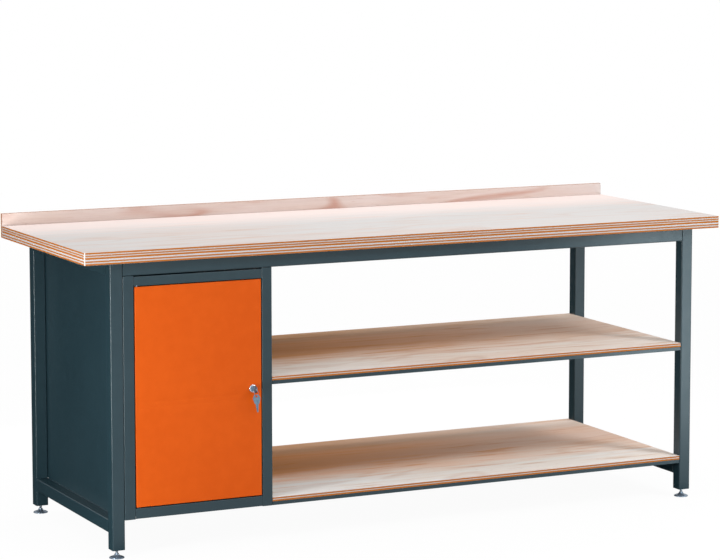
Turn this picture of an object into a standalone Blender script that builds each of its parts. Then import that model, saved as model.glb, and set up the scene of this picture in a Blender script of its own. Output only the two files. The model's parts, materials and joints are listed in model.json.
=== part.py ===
"""Steel-framed workbench: plywood top with an upstand, a hanging cupboard and two tray shelves.

Metres, +Z up, X along the bench from the cupboard end, the door faces -Y.
The origin is on the floor, under the middle of the whole bench with its keys.
"""
import math

import bmesh
import bpy
from mathutils import Matrix, Vector

# Worktop and upstand
WORKTOP_LENGTH = 2.000
WORKTOP_DEPTH = 0.690
WORKTOP_THICKNESS = 0.035
WORKTOP_HEIGHT = 0.846
WORKTOP_EDGE = 0.0010
UPSTAND_THICKNESS = 0.012
UPSTAND_RISE = 0.0355
UPSTAND_EDGE = 0.0006

# Steel frame of square tube
TUBE_SIZE = 0.0365
TUBE_WALL = 0.0020
TUBE_CORNER = 0.0035
END_OVERHANG = 0.079
FRONT_OVERHANG = 0.020
REAR_OVERHANG = 0.004
LEG_CLEARANCE = 0.0235
LOW_RAIL_TOP = 0.1047

# Play between pieces
SEAT_GAP = 0.0003
TURN_GAP = 0.0003
CUT_OVERRUN = 0.004
WELD_DISTANCE = 0.00001

# Levelling feet
PAD_RADIUS = 0.0210
PAD_RIM_HEIGHT = 0.0022
PAD_NECK_RADIUS = 0.0058
PAD_HEIGHT = 0.0125
PAD_SOCKET_FLOOR = 0.0035
STEM_RADIUS = 0.0040
STEM_TOP = 0.0620
STEM_CHAMFER = 0.0010
FLARE_RADIUS_SHARES = (0.86, 0.62, 0.42, 0.33)
FLARE_HEIGHT_SHARES = (0.16, 0.36, 0.62, 0.84)
INSERT_HEIGHT = 0.014
INSERT_RECESS = 0.0010
INSERT_CORNER = 0.0012

# Worktop screws, driven from inside the top rails
SCREW_RADIUS = 0.0025
SCREW_LENGTH = 0.026
SCREW_HEAD_RADIUS = 0.0055
SCREW_HEAD_HEIGHT = 0.0030
SCREW_ACCESS_RADIUS = 0.0075
LONG_RAIL_SCREW_SHARES = (0.42, 0.84)
SIDE_RAIL_SCREW_SHARE = 0.5

# Cupboard of folded sheet
SHEET = 0.0012
BEND = 0.0010
CUPBOARD_WIDTH = 0.4379
STILE_WIDTH = 0.0310
POST_WIDTH = 0.0300
STILE_RETURN = 0.0200
REAR_FLANGE = 0.0150
FRONT_SETBACK = 0.0010
HEADER_GAP = 0.0028
HEADER_HEIGHT = 0.0256
PLINTH_HEIGHT = 0.0285
PLINTH_RISE = 0.0010
INNER_SHELF_TOP = 0.400
INNER_SHELF_HEIGHT = 0.020
INNER_SHELF_LIP = 0.012
INNER_SHELF_FRONT = 0.055
INNER_SHELF_PLAY = 0.0012
REST_ARM = 0.018
REST_LENGTH = 0.030
REST_INSET = 0.070

# Door
DOOR_GAP = 0.0027
DOOR_DEPTH = 0.0180
DOOR_LIP = 0.0120
DOOR_BEND = 0.0012
STIFFENER_HEIGHT = 0.044
STIFFENER_DEPTH = 0.0120
STIFFENER_FLANGE = 0.0100
STIFFENER_DROP = 0.022
STIFFENER_LENGTH_SHARE = 0.84
STIFFENER_END_GAP = 0.004

# Door hinge
PIVOT_INSET = 0.0080
PIVOT_DEPTH = 0.0062
PIN_RADIUS = 0.0025
PIN_LENGTH = 0.0105
PIN_HEAD_RADIUS = 0.0044
PIN_HEAD_HEIGHT = 0.0020
BUSH_RADIUS = 0.0056
BRACKET_SHEET = 0.0025
BRACKET_BEND = 0.0010
BRACKET_WIDTH = 0.0200
BRACKET_TAB = 0.0180
BRACKET_DEPTH = 0.0130
BRACKET_DROP = 0.0010

# Cam lock
LOCK_INSET = 0.0270
LOCK_RIM_RADIUS = 0.0115
LOCK_RIM_EDGE = 0.0015
LOCK_PROUD = 0.0060
LOCK_FACE_RADIUS = 0.0095
LOCK_BARREL_RADIUS = 0.0094
LOCK_BARREL_LENGTH = 0.0220
LOCK_BORE_RADIUS = 0.0070
LOCK_NUT_FLATS = 0.0250
LOCK_NUT_HEIGHT = 0.0045
PLUG_SINK = 0.0005
CAM_THICKNESS = 0.0025
CAM_WIDTH = 0.0160
CAM_REACH = 0.0400
CAM_SQUARE = 0.0070
CAM_STUD_RADIUS = 0.0028
CAM_STUD_LENGTH = 0.0060
CAM_NUT_FLATS = 0.0100
CAM_NUT_HEIGHT = 0.0040

# Keys and their ring
KEY_LENGTH = 0.0500
KEY_BLADE_LENGTH = 0.0240
KEY_BLADE_ROOT = 0.0088
KEY_BLADE_TIP = 0.0040
KEY_SHOULDER = 0.0130
KEY_BOW = 0.0215
KEY_CROWN = 0.0100
KEY_TOP = 0.0115
KEY_THICKNESS = 0.0020
KEY_ROUND = 0.0022
KEY_HOLE_RADIUS = 0.0033
KEY_HOLE_INSET = 0.0050
KEY_SEAT = 0.0005
KEY_HANG_PLAY = 0.0013
RING_RADIUS = 0.0075
RING_WIRE_RADIUS = 0.0006
RING_PLAY = 0.0005
RING_TURN_DEG = 18.0
SPARE_KEY_TURN_DEG = -23.5
SPARE_KEY_LEAN_DEG = 6.0

# Shelves
BOARD_THICKNESS = 0.012
BOARD_EDGE = 0.0006
TRAY_HEIGHT = 0.0104
TRAY_LIP = 0.0200
UPPER_SHELF_TOP = 0.469

# Roundness of turned and bent pieces
ARC_STEPS = 3
TURN_STEPS = 24
SCREW_STEPS = 12
RING_STEPS = 36
RING_WIRE_STEPS = 8

# Places that follow from the sizes above
KEY_REACH = LOCK_PROUD - PLUG_SINK + KEY_SEAT + KEY_LENGTH - KEY_BLADE_LENGTH - FRONT_OVERHANG
BENCH_DEPTH = KEY_REACH + WORKTOP_DEPTH + SEAT_GAP + UPSTAND_THICKNESS
WORKTOP_FRONT = KEY_REACH - BENCH_DEPTH / 2
WORKTOP_BACK = WORKTOP_FRONT + WORKTOP_DEPTH
UNDERSIDE = WORKTOP_HEIGHT - WORKTOP_THICKNESS
FRAME_FRONT = WORKTOP_FRONT + FRONT_OVERHANG
FRAME_REAR = WORKTOP_BACK - REAR_OVERHANG
FRAME_LEFT = END_OVERHANG - WORKTOP_LENGTH / 2
FRAME_RIGHT = -FRAME_LEFT
INNER_LEFT = FRAME_LEFT + TUBE_SIZE
INNER_RIGHT = FRAME_RIGHT - TUBE_SIZE
INNER_FRONT = FRAME_FRONT + TUBE_SIZE
INNER_REAR = FRAME_REAR - TUBE_SIZE
FRAME_TOP = UNDERSIDE - SEAT_GAP
TOP_RAIL_BOTTOM = FRAME_TOP - TUBE_SIZE
LEG_CENTRES = {
    "front_left": (FRAME_LEFT + TUBE_SIZE / 2, FRAME_FRONT + TUBE_SIZE / 2),
    "rear_left": (FRAME_LEFT + TUBE_SIZE / 2, FRAME_REAR - TUBE_SIZE / 2),
    "front_right": (FRAME_RIGHT - TUBE_SIZE / 2, FRAME_FRONT + TUBE_SIZE / 2),
    "rear_right": (FRAME_RIGHT - TUBE_SIZE / 2, FRAME_REAR - TUBE_SIZE / 2),
}

CUPBOARD_LEFT = INNER_LEFT + SEAT_GAP
CUPBOARD_RIGHT = CUPBOARD_LEFT + CUPBOARD_WIDTH
CUPBOARD_BOTTOM = LOW_RAIL_TOP + SEAT_GAP
CUPBOARD_TOP = TOP_RAIL_BOTTOM - SEAT_GAP
CUPBOARD_FLOOR = CUPBOARD_BOTTOM + PLINTH_RISE + PLINTH_HEIGHT
CUPBOARD_ROOF = CUPBOARD_TOP - HEADER_GAP
PANEL_LEFT = CUPBOARD_LEFT + SHEET + SEAT_GAP
PANEL_RIGHT = CUPBOARD_RIGHT - SHEET - SEAT_GAP
PANEL_FRONT = FRAME_FRONT + FRONT_SETBACK
PANEL_REAR = FRAME_REAR - SHEET - SEAT_GAP - SHEET
MOUTH_LEFT = CUPBOARD_LEFT + STILE_WIDTH
MOUTH_RIGHT = CUPBOARD_RIGHT - POST_WIDTH
MOUTH_TOP = CUPBOARD_ROOF - HEADER_HEIGHT

DOOR_LEFT = MOUTH_LEFT + DOOR_GAP
DOOR_RIGHT = MOUTH_RIGHT - DOOR_GAP
DOOR_BOTTOM = CUPBOARD_FLOOR + DOOR_GAP
DOOR_TOP = MOUTH_TOP - DOOR_GAP
DOOR_FRONT = FRAME_FRONT
DOOR_BACK = DOOR_FRONT + DOOR_DEPTH
PIVOT_X = DOOR_LEFT + PIVOT_INSET
PIVOT_Y = DOOR_FRONT + PIVOT_DEPTH
BRACKET_HOLE_RADIUS = PIN_RADIUS + TURN_GAP
LOCK_X = DOOR_RIGHT - LOCK_INSET
LOCK_Z = (DOOR_TOP + DOOR_BOTTOM) / 2
LOCK_FRONT = DOOR_FRONT - LOCK_PROUD
KEY_SHOULDER_Y = LOCK_FRONT + PLUG_SINK - KEY_SEAT
KEY_TIP_Y = KEY_SHOULDER_Y + KEY_BLADE_LENGTH
KEY_HOLE_Y = KEY_SHOULDER_Y - (KEY_LENGTH - KEY_BLADE_LENGTH - KEY_HOLE_INSET)
KEY_HALF_AT_HOLE = (KEY_TOP + (KEY_BOW - KEY_TOP) * KEY_HOLE_INSET / KEY_CROWN) / 2
RING_PIVOT_DROP = (KEY_HALF_AT_HOLE + KEY_HOLE_RADIUS) / 2
RING_PIVOT_Z = LOCK_Z - RING_PIVOT_DROP
BOW_RIM_REACH = math.hypot((KEY_HALF_AT_HOLE - KEY_HOLE_RADIUS) / 2, KEY_THICKNESS / 2)
RING_DROP = RING_RADIUS - RING_WIRE_RADIUS - BOW_RIM_REACH - RING_PLAY
RING_Z = RING_PIVOT_Z - RING_DROP
RING_BOTTOM_Z = RING_Z - RING_RADIUS

SHELF_LEFT = CUPBOARD_RIGHT + SEAT_GAP
SHELF_RIGHT = INNER_RIGHT - SEAT_GAP
LOWER_TRAY_BOTTOM = LOW_RAIL_TOP + SEAT_GAP
UPPER_TRAY_BOTTOM = UPPER_SHELF_TOP - BOARD_THICKNESS - SEAT_GAP - TRAY_HEIGHT

X_AXIS = Vector((1, 0, 0))
Y_AXIS = Vector((0, 1, 0))
Z_AXIS = Vector((0, 0, 1))


def clear_scene():
    for obj in list(bpy.data.objects):
        bpy.data.objects.remove(obj, do_unlink=True)


def new_collection(name):
    collection = bpy.data.collections.new(name)
    bpy.context.scene.collection.children.link(collection)
    return collection


def new_material(name, colour, roughness, metallic):
    material = bpy.data.materials.new(name)
    material.use_nodes = True
    shader = material.node_tree.nodes["Principled BSDF"]
    shader.inputs["Base Color"].default_value = (*colour, 1.0)
    shader.inputs["Roughness"].default_value = roughness
    shader.inputs["Metallic"].default_value = metallic
    material.diffuse_color = (*colour, 1.0)
    return material


def frame_matrix(centre, along=Z_AXIS, across=X_AXIS):
    """Local Z runs along one direction and local X across it, with the local origin at the centre."""
    z = Vector(along).normalized()
    x = Vector(across).normalized()
    y = z.cross(x)
    return Matrix.Translation(Vector(centre)) @ Matrix((x, y, z)).transposed().to_4x4()


def add_piece(name, mesh, place, material):
    """Names a finished mesh as one piece of the bench; its origin is where the place matrix says."""
    mesh.name = name
    mesh.materials.clear()
    mesh.materials.append(material)
    piece = bpy.data.objects.new(name, mesh)
    piece.matrix_world = place
    PARTS.objects.link(piece)
    return piece


def mesh_from(build):
    mesh = bpy.data.meshes.new("shape")
    bm = bmesh.new()
    build(bm)
    bm.to_mesh(mesh)
    bm.free()
    return mesh


def block_mesh(size):
    def build(bm):
        bmesh.ops.create_cube(bm, size=1.0, matrix=Matrix.Diagonal((*size, 1.0)))
    return mesh_from(build)


def rod_mesh(radius, length, steps=TURN_STEPS):
    def build(bm):
        ends = {"radius1": radius, "radius2": radius}
        bmesh.ops.create_cone(bm, cap_ends=True, segments=steps, depth=length, **ends)
    return mesh_from(build)


def smooth(mesh, angle_deg=40.0):
    mesh.shade_smooth()
    mesh.set_sharp_from_angle(angle=math.radians(angle_deg))


def block(name, low, high, material, edge=0.0, segments=2):
    """A box between two corners, with its edges eased."""
    low = Vector(low)
    high = Vector(high)
    piece = add_piece(name, block_mesh(high - low), Matrix.Translation((low + high) / 2), material)
    if edge:
        bevel = piece.modifiers.new("eased_edges", "BEVEL")
        bevel.width = edge
        bevel.segments = segments
    return piece


def as_cutter(cutter):
    CUTTERS.objects.link(cutter)
    cutter.hide_render = True
    cutter.display_type = "WIRE"
    return cutter


def apply_boolean(piece, cutter, operation="DIFFERENCE"):
    boolean = piece.modifiers.new(cutter.name, "BOOLEAN")
    boolean.object = cutter
    boolean.operation = operation
    boolean.solver = "EXACT"


def cut_block(piece, name, low, high):
    low = Vector(low)
    high = Vector(high)
    cutter = bpy.data.objects.new(name, block_mesh(high - low))
    cutter.location = (low + high) / 2
    apply_boolean(piece, as_cutter(cutter))


def cut_hole(piece, name, start, along, length, radius, steps=TURN_STEPS):
    """A round hole from a point along a direction."""
    along = Vector(along).normalized()
    centre = Vector(start) + along * length / 2
    cutter = bpy.data.objects.new(name, rod_mesh(radius, length, steps))
    cutter.matrix_world = frame_matrix(centre, along, along.orthogonal())
    apply_boolean(piece, as_cutter(cutter))


def rounded(points, radii, steps=ARC_STEPS):
    """The outline with each corner turned into an arc; radii is one radius, or one for each corner."""
    if not isinstance(radii, (list, tuple)):
        radii = [radii] * len(points)
    outline = []
    count = len(points)
    for i, radius in enumerate(radii):
        corner = Vector(points[i])
        if radius <= 0.0:
            outline.append(tuple(corner))
            continue
        before = (Vector(points[i - 1]) - corner).normalized()
        after = (Vector(points[(i + 1) % count]) - corner).normalized()
        half = before.angle(after) / 2
        reach = radius / math.tan(half)
        centre = corner + (before + after).normalized() * radius / math.sin(half)
        start = corner + before * reach - centre
        end = corner + after * reach - centre
        sweep = start.angle_signed(end)
        for k in range(steps + 1):
            turn = -sweep * k / steps
            arm = Matrix.Rotation(turn, 2) @ start
            outline.append(tuple(centre + arm))
    return outline


def rectangle(width, height, radius=0.0):
    u = width / 2
    v = height / 2
    return rounded([(-u, -v), (u, -v), (u, v), (-u, v)], radius)


def circle(radius, steps=TURN_STEPS, centre=(0.0, 0.0)):
    angles = [2 * math.pi * k / steps for k in range(steps)]
    return [(centre[0] + radius * math.cos(a), centre[1] + radius * math.sin(a)) for a in angles]


def hexagon(flats):
    corner = flats / math.sqrt(3)
    return circle(corner, 6)


def folded(path, thickness=SHEET, bend=BEND):
    """The section of a sheet folded along a path; its thickness lies to the left of the path."""
    path = [Vector(p) for p in path]
    count = len(path)
    left_side = []
    path_radii = []
    left_radii = []
    for i, point in enumerate(path):
        into = (point - path[i - 1]).normalized() if i else (path[1] - point).normalized()
        out = (path[i + 1] - point).normalized() if i < count - 1 else into
        left_in = Vector((-into.y, into.x))
        left_out = Vector((-out.y, out.x))
        left_side.append(point + (left_in + left_out) * thickness / (1 + left_in.dot(left_out)))
        turn = into.cross(out)
        inside = bend if turn else 0.0
        outside = bend + thickness if turn else 0.0
        path_radii.append(outside if turn > 0.0 else inside)
        left_radii.append(inside if turn > 0.0 else outside)
    outline = [tuple(p) for p in path] + [tuple(p) for p in reversed(left_side)]
    return rounded(outline, path_radii + left_radii[::-1])


def evaluated_mesh(guide):
    """The mesh that a curve or a modifier makes, with its seams welded; the guide object is removed."""
    bpy.context.scene.collection.objects.link(guide)
    depsgraph = bpy.context.evaluated_depsgraph_get()
    depsgraph.update()
    mesh = bpy.data.meshes.new_from_object(guide.evaluated_get(depsgraph))
    bpy.data.objects.remove(guide, do_unlink=True)
    bm = bmesh.new()
    bm.from_mesh(mesh)
    bmesh.ops.remove_doubles(bm, verts=bm.verts, dist=WELD_DISTANCE)
    bmesh.ops.recalc_face_normals(bm, faces=bm.faces)
    bm.to_mesh(mesh)
    bm.free()
    smooth(mesh)
    return mesh


def outline_mesh(outlines, thickness):
    """Flat outlines, the first the edge and the others holes, given a thickness about their plane."""
    curve = bpy.data.curves.new("outline", "CURVE")
    curve.dimensions = "2D"
    curve.fill_mode = "BOTH"
    curve.extrude = thickness / 2
    for points in outlines:
        spline = curve.splines.new("POLY")
        spline.points.add(len(points) - 1)
        for point, (u, v) in zip(spline.points, points):
            point.co = (u, v, 0.0, 1.0)
        spline.use_cyclic_u = True
    return evaluated_mesh(bpy.data.objects.new("outline", curve))


def turned(name, profile, place, material, steps=TURN_STEPS):
    """A turned piece; the profile's (radius, height) points run down its outer side, and back up a bore."""
    mesh = bpy.data.meshes.new("profile")
    hollow = profile[0] == profile[-1]
    points = [(radius, 0.0, height) for radius, height in (profile[:-1] if hollow else profile)]
    edges = [(i, i + 1) for i in range(len(points) - 1)]
    if hollow:
        edges.append((len(points) - 1, 0))
    mesh.from_pydata(points, edges, [])
    guide = bpy.data.objects.new("profile", mesh)
    screw = guide.modifiers.new("turned", "SCREW")
    screw.axis = "Z"
    screw.steps = steps
    screw.render_steps = steps
    screw.use_merge_vertices = True
    screw.merge_threshold = WELD_DISTANCE
    return add_piece(name, evaluated_mesh(guide), place, material)


def pan_mesh(size, lip):
    """A folded pan: five faces of a box, with a lip round the open sixth one on the local +Z side."""
    def build(bm):
        bmesh.ops.create_cube(bm, size=1.0, matrix=Matrix.Diagonal((*size, 1.0)))
        bm.faces.ensure_lookup_table()
        top = max(bm.faces, key=lambda face: face.normal.z)
        bmesh.ops.inset_region(bm, faces=[top], thickness=lip, use_even_offset=True)
        bmesh.ops.delete(bm, geom=[top], context="FACES_ONLY")
    return mesh_from(build)


def pan(name, size, lip, place, material, bend=BEND):
    piece = add_piece(name, pan_mesh(size, lip), place, material)
    bevel = piece.modifiers.new("bends", "BEVEL")
    bevel.width = bend
    bevel.segments = 2
    bevel.limit_method = "ANGLE"
    solid = piece.modifiers.new("sheet", "SOLIDIFY")
    solid.thickness = SHEET
    solid.offset = -1.0
    solid.use_even_offset = True
    return piece


def make_worktop(ply, screw_places):
    worktop = block(
        "worktop",
        (-WORKTOP_LENGTH / 2, WORKTOP_FRONT, UNDERSIDE),
        (WORKTOP_LENGTH / 2, WORKTOP_BACK, WORKTOP_HEIGHT),
        ply,
        WORKTOP_EDGE,
    )
    tip = FRAME_TOP - TUBE_WALL - TURN_GAP + SCREW_LENGTH
    for i, (x, y) in enumerate(screw_places):
        depth = tip + TURN_GAP - UNDERSIDE + CUT_OVERRUN
        start = (x, y, UNDERSIDE - CUT_OVERRUN)
        cut_hole(worktop, f"screw_pilot_{i + 1}", start, Z_AXIS, depth, SCREW_RADIUS + TURN_GAP)


def make_upstand(ply):
    block(
        "upstand",
        (-WORKTOP_LENGTH / 2, WORKTOP_BACK + SEAT_GAP, UNDERSIDE),
        (WORKTOP_LENGTH / 2, WORKTOP_BACK + SEAT_GAP + UPSTAND_THICKNESS, WORKTOP_HEIGHT + UPSTAND_RISE),
        ply,
        UPSTAND_EDGE,
    )


def square_tube(name, start, end, steel):
    """A length of the frame's square tube between two points on its centre line."""
    start = Vector(start)
    end = Vector(end)
    along = end - start
    inner = TUBE_SIZE - 2 * TUBE_WALL
    outer_outline = rectangle(TUBE_SIZE, TUBE_SIZE, TUBE_CORNER)
    inner_outline = rectangle(inner, inner, TUBE_CORNER - TUBE_WALL)
    across = Z_AXIS if abs(along.normalized().z) < 0.5 else X_AXIS
    place = frame_matrix((start + end) / 2, along, across)
    return add_piece(name, outline_mesh([outer_outline, inner_outline], along.length), place, steel)


def long_rail_screws():
    span = SHELF_RIGHT - INNER_LEFT
    xs = [INNER_LEFT + share * span for share in LONG_RAIL_SCREW_SHARES]
    front = LEG_CENTRES["front_left"][1]
    rear = LEG_CENTRES["rear_left"][1]
    return [(x, front) for x in xs] + [(x, rear) for x in xs]


def side_rail_screws():
    y = INNER_FRONT + (INNER_REAR - INNER_FRONT) * SIDE_RAIL_SCREW_SHARE
    return [(LEG_CENTRES["front_left"][0], y), (LEG_CENTRES["front_right"][0], y)]


def bore_rail(rail, places):
    """Cuts a screw hole in the rail's upper wall and a wider one below it for the driver."""
    for i, (x, y) in enumerate(places):
        upper = (x, y, FRAME_TOP - TUBE_WALL - CUT_OVERRUN)
        lower = (x, y, TOP_RAIL_BOTTOM - CUT_OVERRUN)
        reach = TUBE_WALL + 2 * CUT_OVERRUN
        cut_hole(rail, f"{rail.name}_screw_{i + 1}", upper, Z_AXIS, reach, SCREW_RADIUS + TURN_GAP)
        cut_hole(rail, f"{rail.name}_access_{i + 1}", lower, Z_AXIS, reach, SCREW_ACCESS_RADIUS)


def make_frame(steel):
    for corner, (x, y) in LEG_CENTRES.items():
        square_tube(f"leg_{corner}", (x, y, LEG_CLEARANCE), (x, y, FRAME_TOP), steel)
    left, front = LEG_CENTRES["front_left"]
    right, rear = LEG_CENTRES["rear_right"]
    top = FRAME_TOP - TUBE_SIZE / 2
    low = LOW_RAIL_TOP - TUBE_SIZE / 2
    x0 = INNER_LEFT + SEAT_GAP
    x1 = INNER_RIGHT - SEAT_GAP
    y0 = INNER_FRONT + SEAT_GAP
    y1 = INNER_REAR - SEAT_GAP
    long_screws = long_rail_screws()
    side_screws = side_rail_screws()
    bore_rail(square_tube("top_rail_front", (x0, front, top), (x1, front, top), steel), long_screws[:2])
    bore_rail(square_tube("top_rail_rear", (x0, rear, top), (x1, rear, top), steel), long_screws[2:])
    bore_rail(square_tube("top_rail_left", (left, y0, top), (left, y1, top), steel), side_screws[:1])
    bore_rail(square_tube("top_rail_right", (right, y0, top), (right, y1, top), steel), side_screws[1:])
    square_tube("low_rail_left", (left, y0, low), (left, y1, low), steel)
    square_tube("low_rail_right", (right, y0, low), (right, y1, low), steel)


def make_worktop_screws(zinc, places):
    head_top = FRAME_TOP - TUBE_WALL - TURN_GAP
    profile = [
        (0.0, SCREW_LENGTH),
        (SCREW_RADIUS, SCREW_LENGTH - SCREW_RADIUS),
        (SCREW_RADIUS, 0.0),
        (SCREW_HEAD_RADIUS, 0.0),
        (SCREW_HEAD_RADIUS, -SCREW_HEAD_HEIGHT / 2),
        (SCREW_HEAD_RADIUS / 2, -SCREW_HEAD_HEIGHT),
        (0.0, -SCREW_HEAD_HEIGHT),
    ]
    for i, (x, y) in enumerate(places):
        place = Matrix.Translation((x, y, head_top))
        turned(f"worktop_screw_{i + 1}", profile, place, zinc, SCREW_STEPS)


def make_foot(corner, centre, zinc, plastic):
    """The threaded insert in a leg's lower end, and the stem and pad of its levelling foot."""
    x, y = centre
    insert_side = TUBE_SIZE - 2 * TUBE_WALL - 2 * SEAT_GAP
    insert_bottom = LEG_CLEARANCE + INSERT_RECESS
    outlines = [rectangle(insert_side, insert_side, INSERT_CORNER), circle(STEM_RADIUS + TURN_GAP)]
    insert_place = Matrix.Translation((x, y, insert_bottom + INSERT_HEIGHT / 2))
    add_piece(f"foot_insert_{corner}", outline_mesh(outlines, INSERT_HEIGHT), insert_place, plastic)
    stem_bottom = PAD_SOCKET_FLOOR + TURN_GAP
    stem_profile = [
        (0.0, STEM_TOP),
        (STEM_RADIUS - STEM_CHAMFER, STEM_TOP),
        (STEM_RADIUS, STEM_TOP - STEM_CHAMFER),
        (STEM_RADIUS, stem_bottom),
        (0.0, stem_bottom),
    ]
    floor_place = Matrix.Translation((x, y, 0.0))
    turned(f"foot_stem_{corner}", stem_profile, floor_place, zinc)
    socket = STEM_RADIUS + TURN_GAP
    flare_height = PAD_HEIGHT - PAD_RIM_HEIGHT
    flare = [
        (PAD_RADIUS * radius_share, PAD_RIM_HEIGHT + flare_height * height_share)
        for radius_share, height_share in zip(FLARE_RADIUS_SHARES, FLARE_HEIGHT_SHARES)
    ]
    pad_profile = [
        (0.0, PAD_SOCKET_FLOOR),
        (socket, PAD_SOCKET_FLOOR),
        (socket, PAD_HEIGHT),
        (PAD_NECK_RADIUS, PAD_HEIGHT),
        *reversed(flare),
        (PAD_RADIUS, PAD_RIM_HEIGHT),
        (PAD_RADIUS, 0.0),
        (0.0, 0.0),
    ]
    turned(f"foot_pad_{corner}", pad_profile, floor_place, zinc)


def side_panel(name, path, steel):
    """A cupboard side: its folded section seen from above, as high as the cupboard."""
    height = CUPBOARD_TOP - CUPBOARD_BOTTOM
    place = Matrix.Translation((0.0, 0.0, CUPBOARD_BOTTOM + height / 2))
    return add_piece(name, outline_mesh([folded(path)], height), place, steel)


def make_cupboard_sides(steel):
    return_end = FRAME_FRONT + STILE_RETURN
    side_panel(
        "cupboard_left_side",
        [
            (CUPBOARD_LEFT + REAR_FLANGE, FRAME_REAR),
            (CUPBOARD_LEFT, FRAME_REAR),
            (CUPBOARD_LEFT, FRAME_FRONT),
            (MOUTH_LEFT, FRAME_FRONT),
            (MOUTH_LEFT, return_end),
        ],
        steel,
    )
    side_panel(
        "cupboard_right_side",
        [
            (MOUTH_RIGHT, return_end),
            (MOUTH_RIGHT, FRAME_FRONT),
            (CUPBOARD_RIGHT, FRAME_FRONT),
            (CUPBOARD_RIGHT, FRAME_REAR),
            (CUPBOARD_RIGHT - REAR_FLANGE, FRAME_REAR),
        ],
        steel,
    )


def cross_panel(name, front_edge_z, sheet_z, steel):
    """The cupboard's roof or floor: a sheet with a front fold, notched round the side returns."""
    width = PANEL_RIGHT - PANEL_LEFT
    path = [(PANEL_FRONT, front_edge_z), (PANEL_FRONT, sheet_z), (PANEL_REAR - SEAT_GAP, sheet_z)]
    outline = folded([(-y, z) for y, z in path])
    place = frame_matrix(((PANEL_LEFT + PANEL_RIGHT) / 2, 0.0, 0.0), X_AXIS, -Y_AXIS)
    piece = add_piece(name, outline_mesh([[(u, -v) for u, v in outline]], width), place, steel)
    notch_rear = FRAME_FRONT + STILE_RETURN + SEAT_GAP
    low_z = front_edge_z - CUT_OVERRUN
    high_z = sheet_z + CUT_OVERRUN
    low_y = PANEL_FRONT - CUT_OVERRUN
    left_low = (PANEL_LEFT - CUT_OVERRUN, low_y, low_z)
    left_high = (MOUTH_LEFT + SEAT_GAP, notch_rear, high_z)
    right_low = (MOUTH_RIGHT - SEAT_GAP, low_y, low_z)
    right_high = (PANEL_RIGHT + CUT_OVERRUN, notch_rear, high_z)
    cut_block(piece, f"{name}_left_notch", left_low, left_high)
    cut_block(piece, f"{name}_right_notch", right_low, right_high)
    return piece


def make_cupboard_panels(steel):
    cross_panel("cupboard_roof", MOUTH_TOP, CUPBOARD_ROOF, steel)
    floor = cross_panel("cupboard_floor", CUPBOARD_BOTTOM + PLINTH_RISE, CUPBOARD_FLOOR, steel)
    hole_start = (PIVOT_X, PIVOT_Y, CUPBOARD_FLOOR - SHEET - CUT_OVERRUN)
    cut_hole(floor, "floor_pin_hole", hole_start, Z_AXIS, SHEET + 2 * CUT_OVERRUN, BRACKET_HOLE_RADIUS)
    block(
        "cupboard_back",
        (CUPBOARD_LEFT + SHEET + BEND, PANEL_REAR, CUPBOARD_BOTTOM + PLINTH_RISE),
        (CUPBOARD_RIGHT - SHEET - BEND, PANEL_REAR + SHEET, CUPBOARD_ROOF),
        steel,
    )


def make_inner_shelf(steel, zinc):
    """The cupboard's shelf, a pan with its open side down, on four angle rests."""
    left = PANEL_LEFT + INNER_SHELF_PLAY
    right = PANEL_RIGHT - INNER_SHELF_PLAY
    front = FRAME_FRONT + INNER_SHELF_FRONT
    rear = PANEL_REAR - INNER_SHELF_PLAY
    size = (right - left, rear - front, INNER_SHELF_HEIGHT)
    centre = ((left + right) / 2, (front + rear) / 2, INNER_SHELF_TOP - INNER_SHELF_HEIGHT / 2)
    pan("inner_shelf", size, INNER_SHELF_LIP, frame_matrix(centre, -Z_AXIS, X_AXIS), steel)
    rest_top = INNER_SHELF_TOP - INNER_SHELF_HEIGHT - SEAT_GAP
    angle = folded([(0.0, -REST_ARM), (0.0, 0.0), (-REST_ARM, 0.0)])
    for side, x, outward in (("left", PANEL_LEFT, -1), ("right", PANEL_RIGHT, 1)):
        section = [(u * outward, v) for u, v in angle]
        for end, y in (("front", front + REST_INSET), ("rear", rear - REST_INSET)):
            place = frame_matrix((x, y, rest_top), -Y_AXIS, X_AXIS)
            add_piece(f"shelf_rest_{end}_{side}", outline_mesh([section], REST_LENGTH), place, zinc)


def make_door(orange):
    """The door pan, open at the back, its origin on the hinge axis, bored for its pins and lock."""
    size = (DOOR_RIGHT - DOOR_LEFT, DOOR_TOP - DOOR_BOTTOM, DOOR_DEPTH)
    low_corner = Vector((DOOR_LEFT, DOOR_FRONT, DOOR_BOTTOM))
    high_corner = Vector((DOOR_RIGHT, DOOR_BACK, DOOR_TOP))
    centre = (low_corner + high_corner) / 2
    pivot = Vector((PIVOT_X, PIVOT_Y, centre.z))
    place = frame_matrix(pivot, Y_AXIS, X_AXIS)
    door = pan("door_panel", size, DOOR_LIP, place, orange, DOOR_BEND)
    door.data.transform(Matrix.Translation(place.inverted() @ centre))
    reach = SHEET + 2 * CUT_OVERRUN
    low = (PIVOT_X, PIVOT_Y, DOOR_BOTTOM - CUT_OVERRUN)
    high = (PIVOT_X, PIVOT_Y, DOOR_TOP - SHEET - CUT_OVERRUN)
    barrel = (LOCK_X, DOOR_FRONT - CUT_OVERRUN, LOCK_Z)
    cut_hole(door, "door_low_pin_hole", low, Z_AXIS, reach, PIN_RADIUS + TURN_GAP)
    cut_hole(door, "door_high_pin_hole", high, Z_AXIS, reach, PIN_RADIUS + TURN_GAP)
    cut_hole(door, "door_lock_hole", barrel, Y_AXIS, reach, LOCK_BARREL_RADIUS + TURN_GAP, RING_STEPS)


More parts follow.
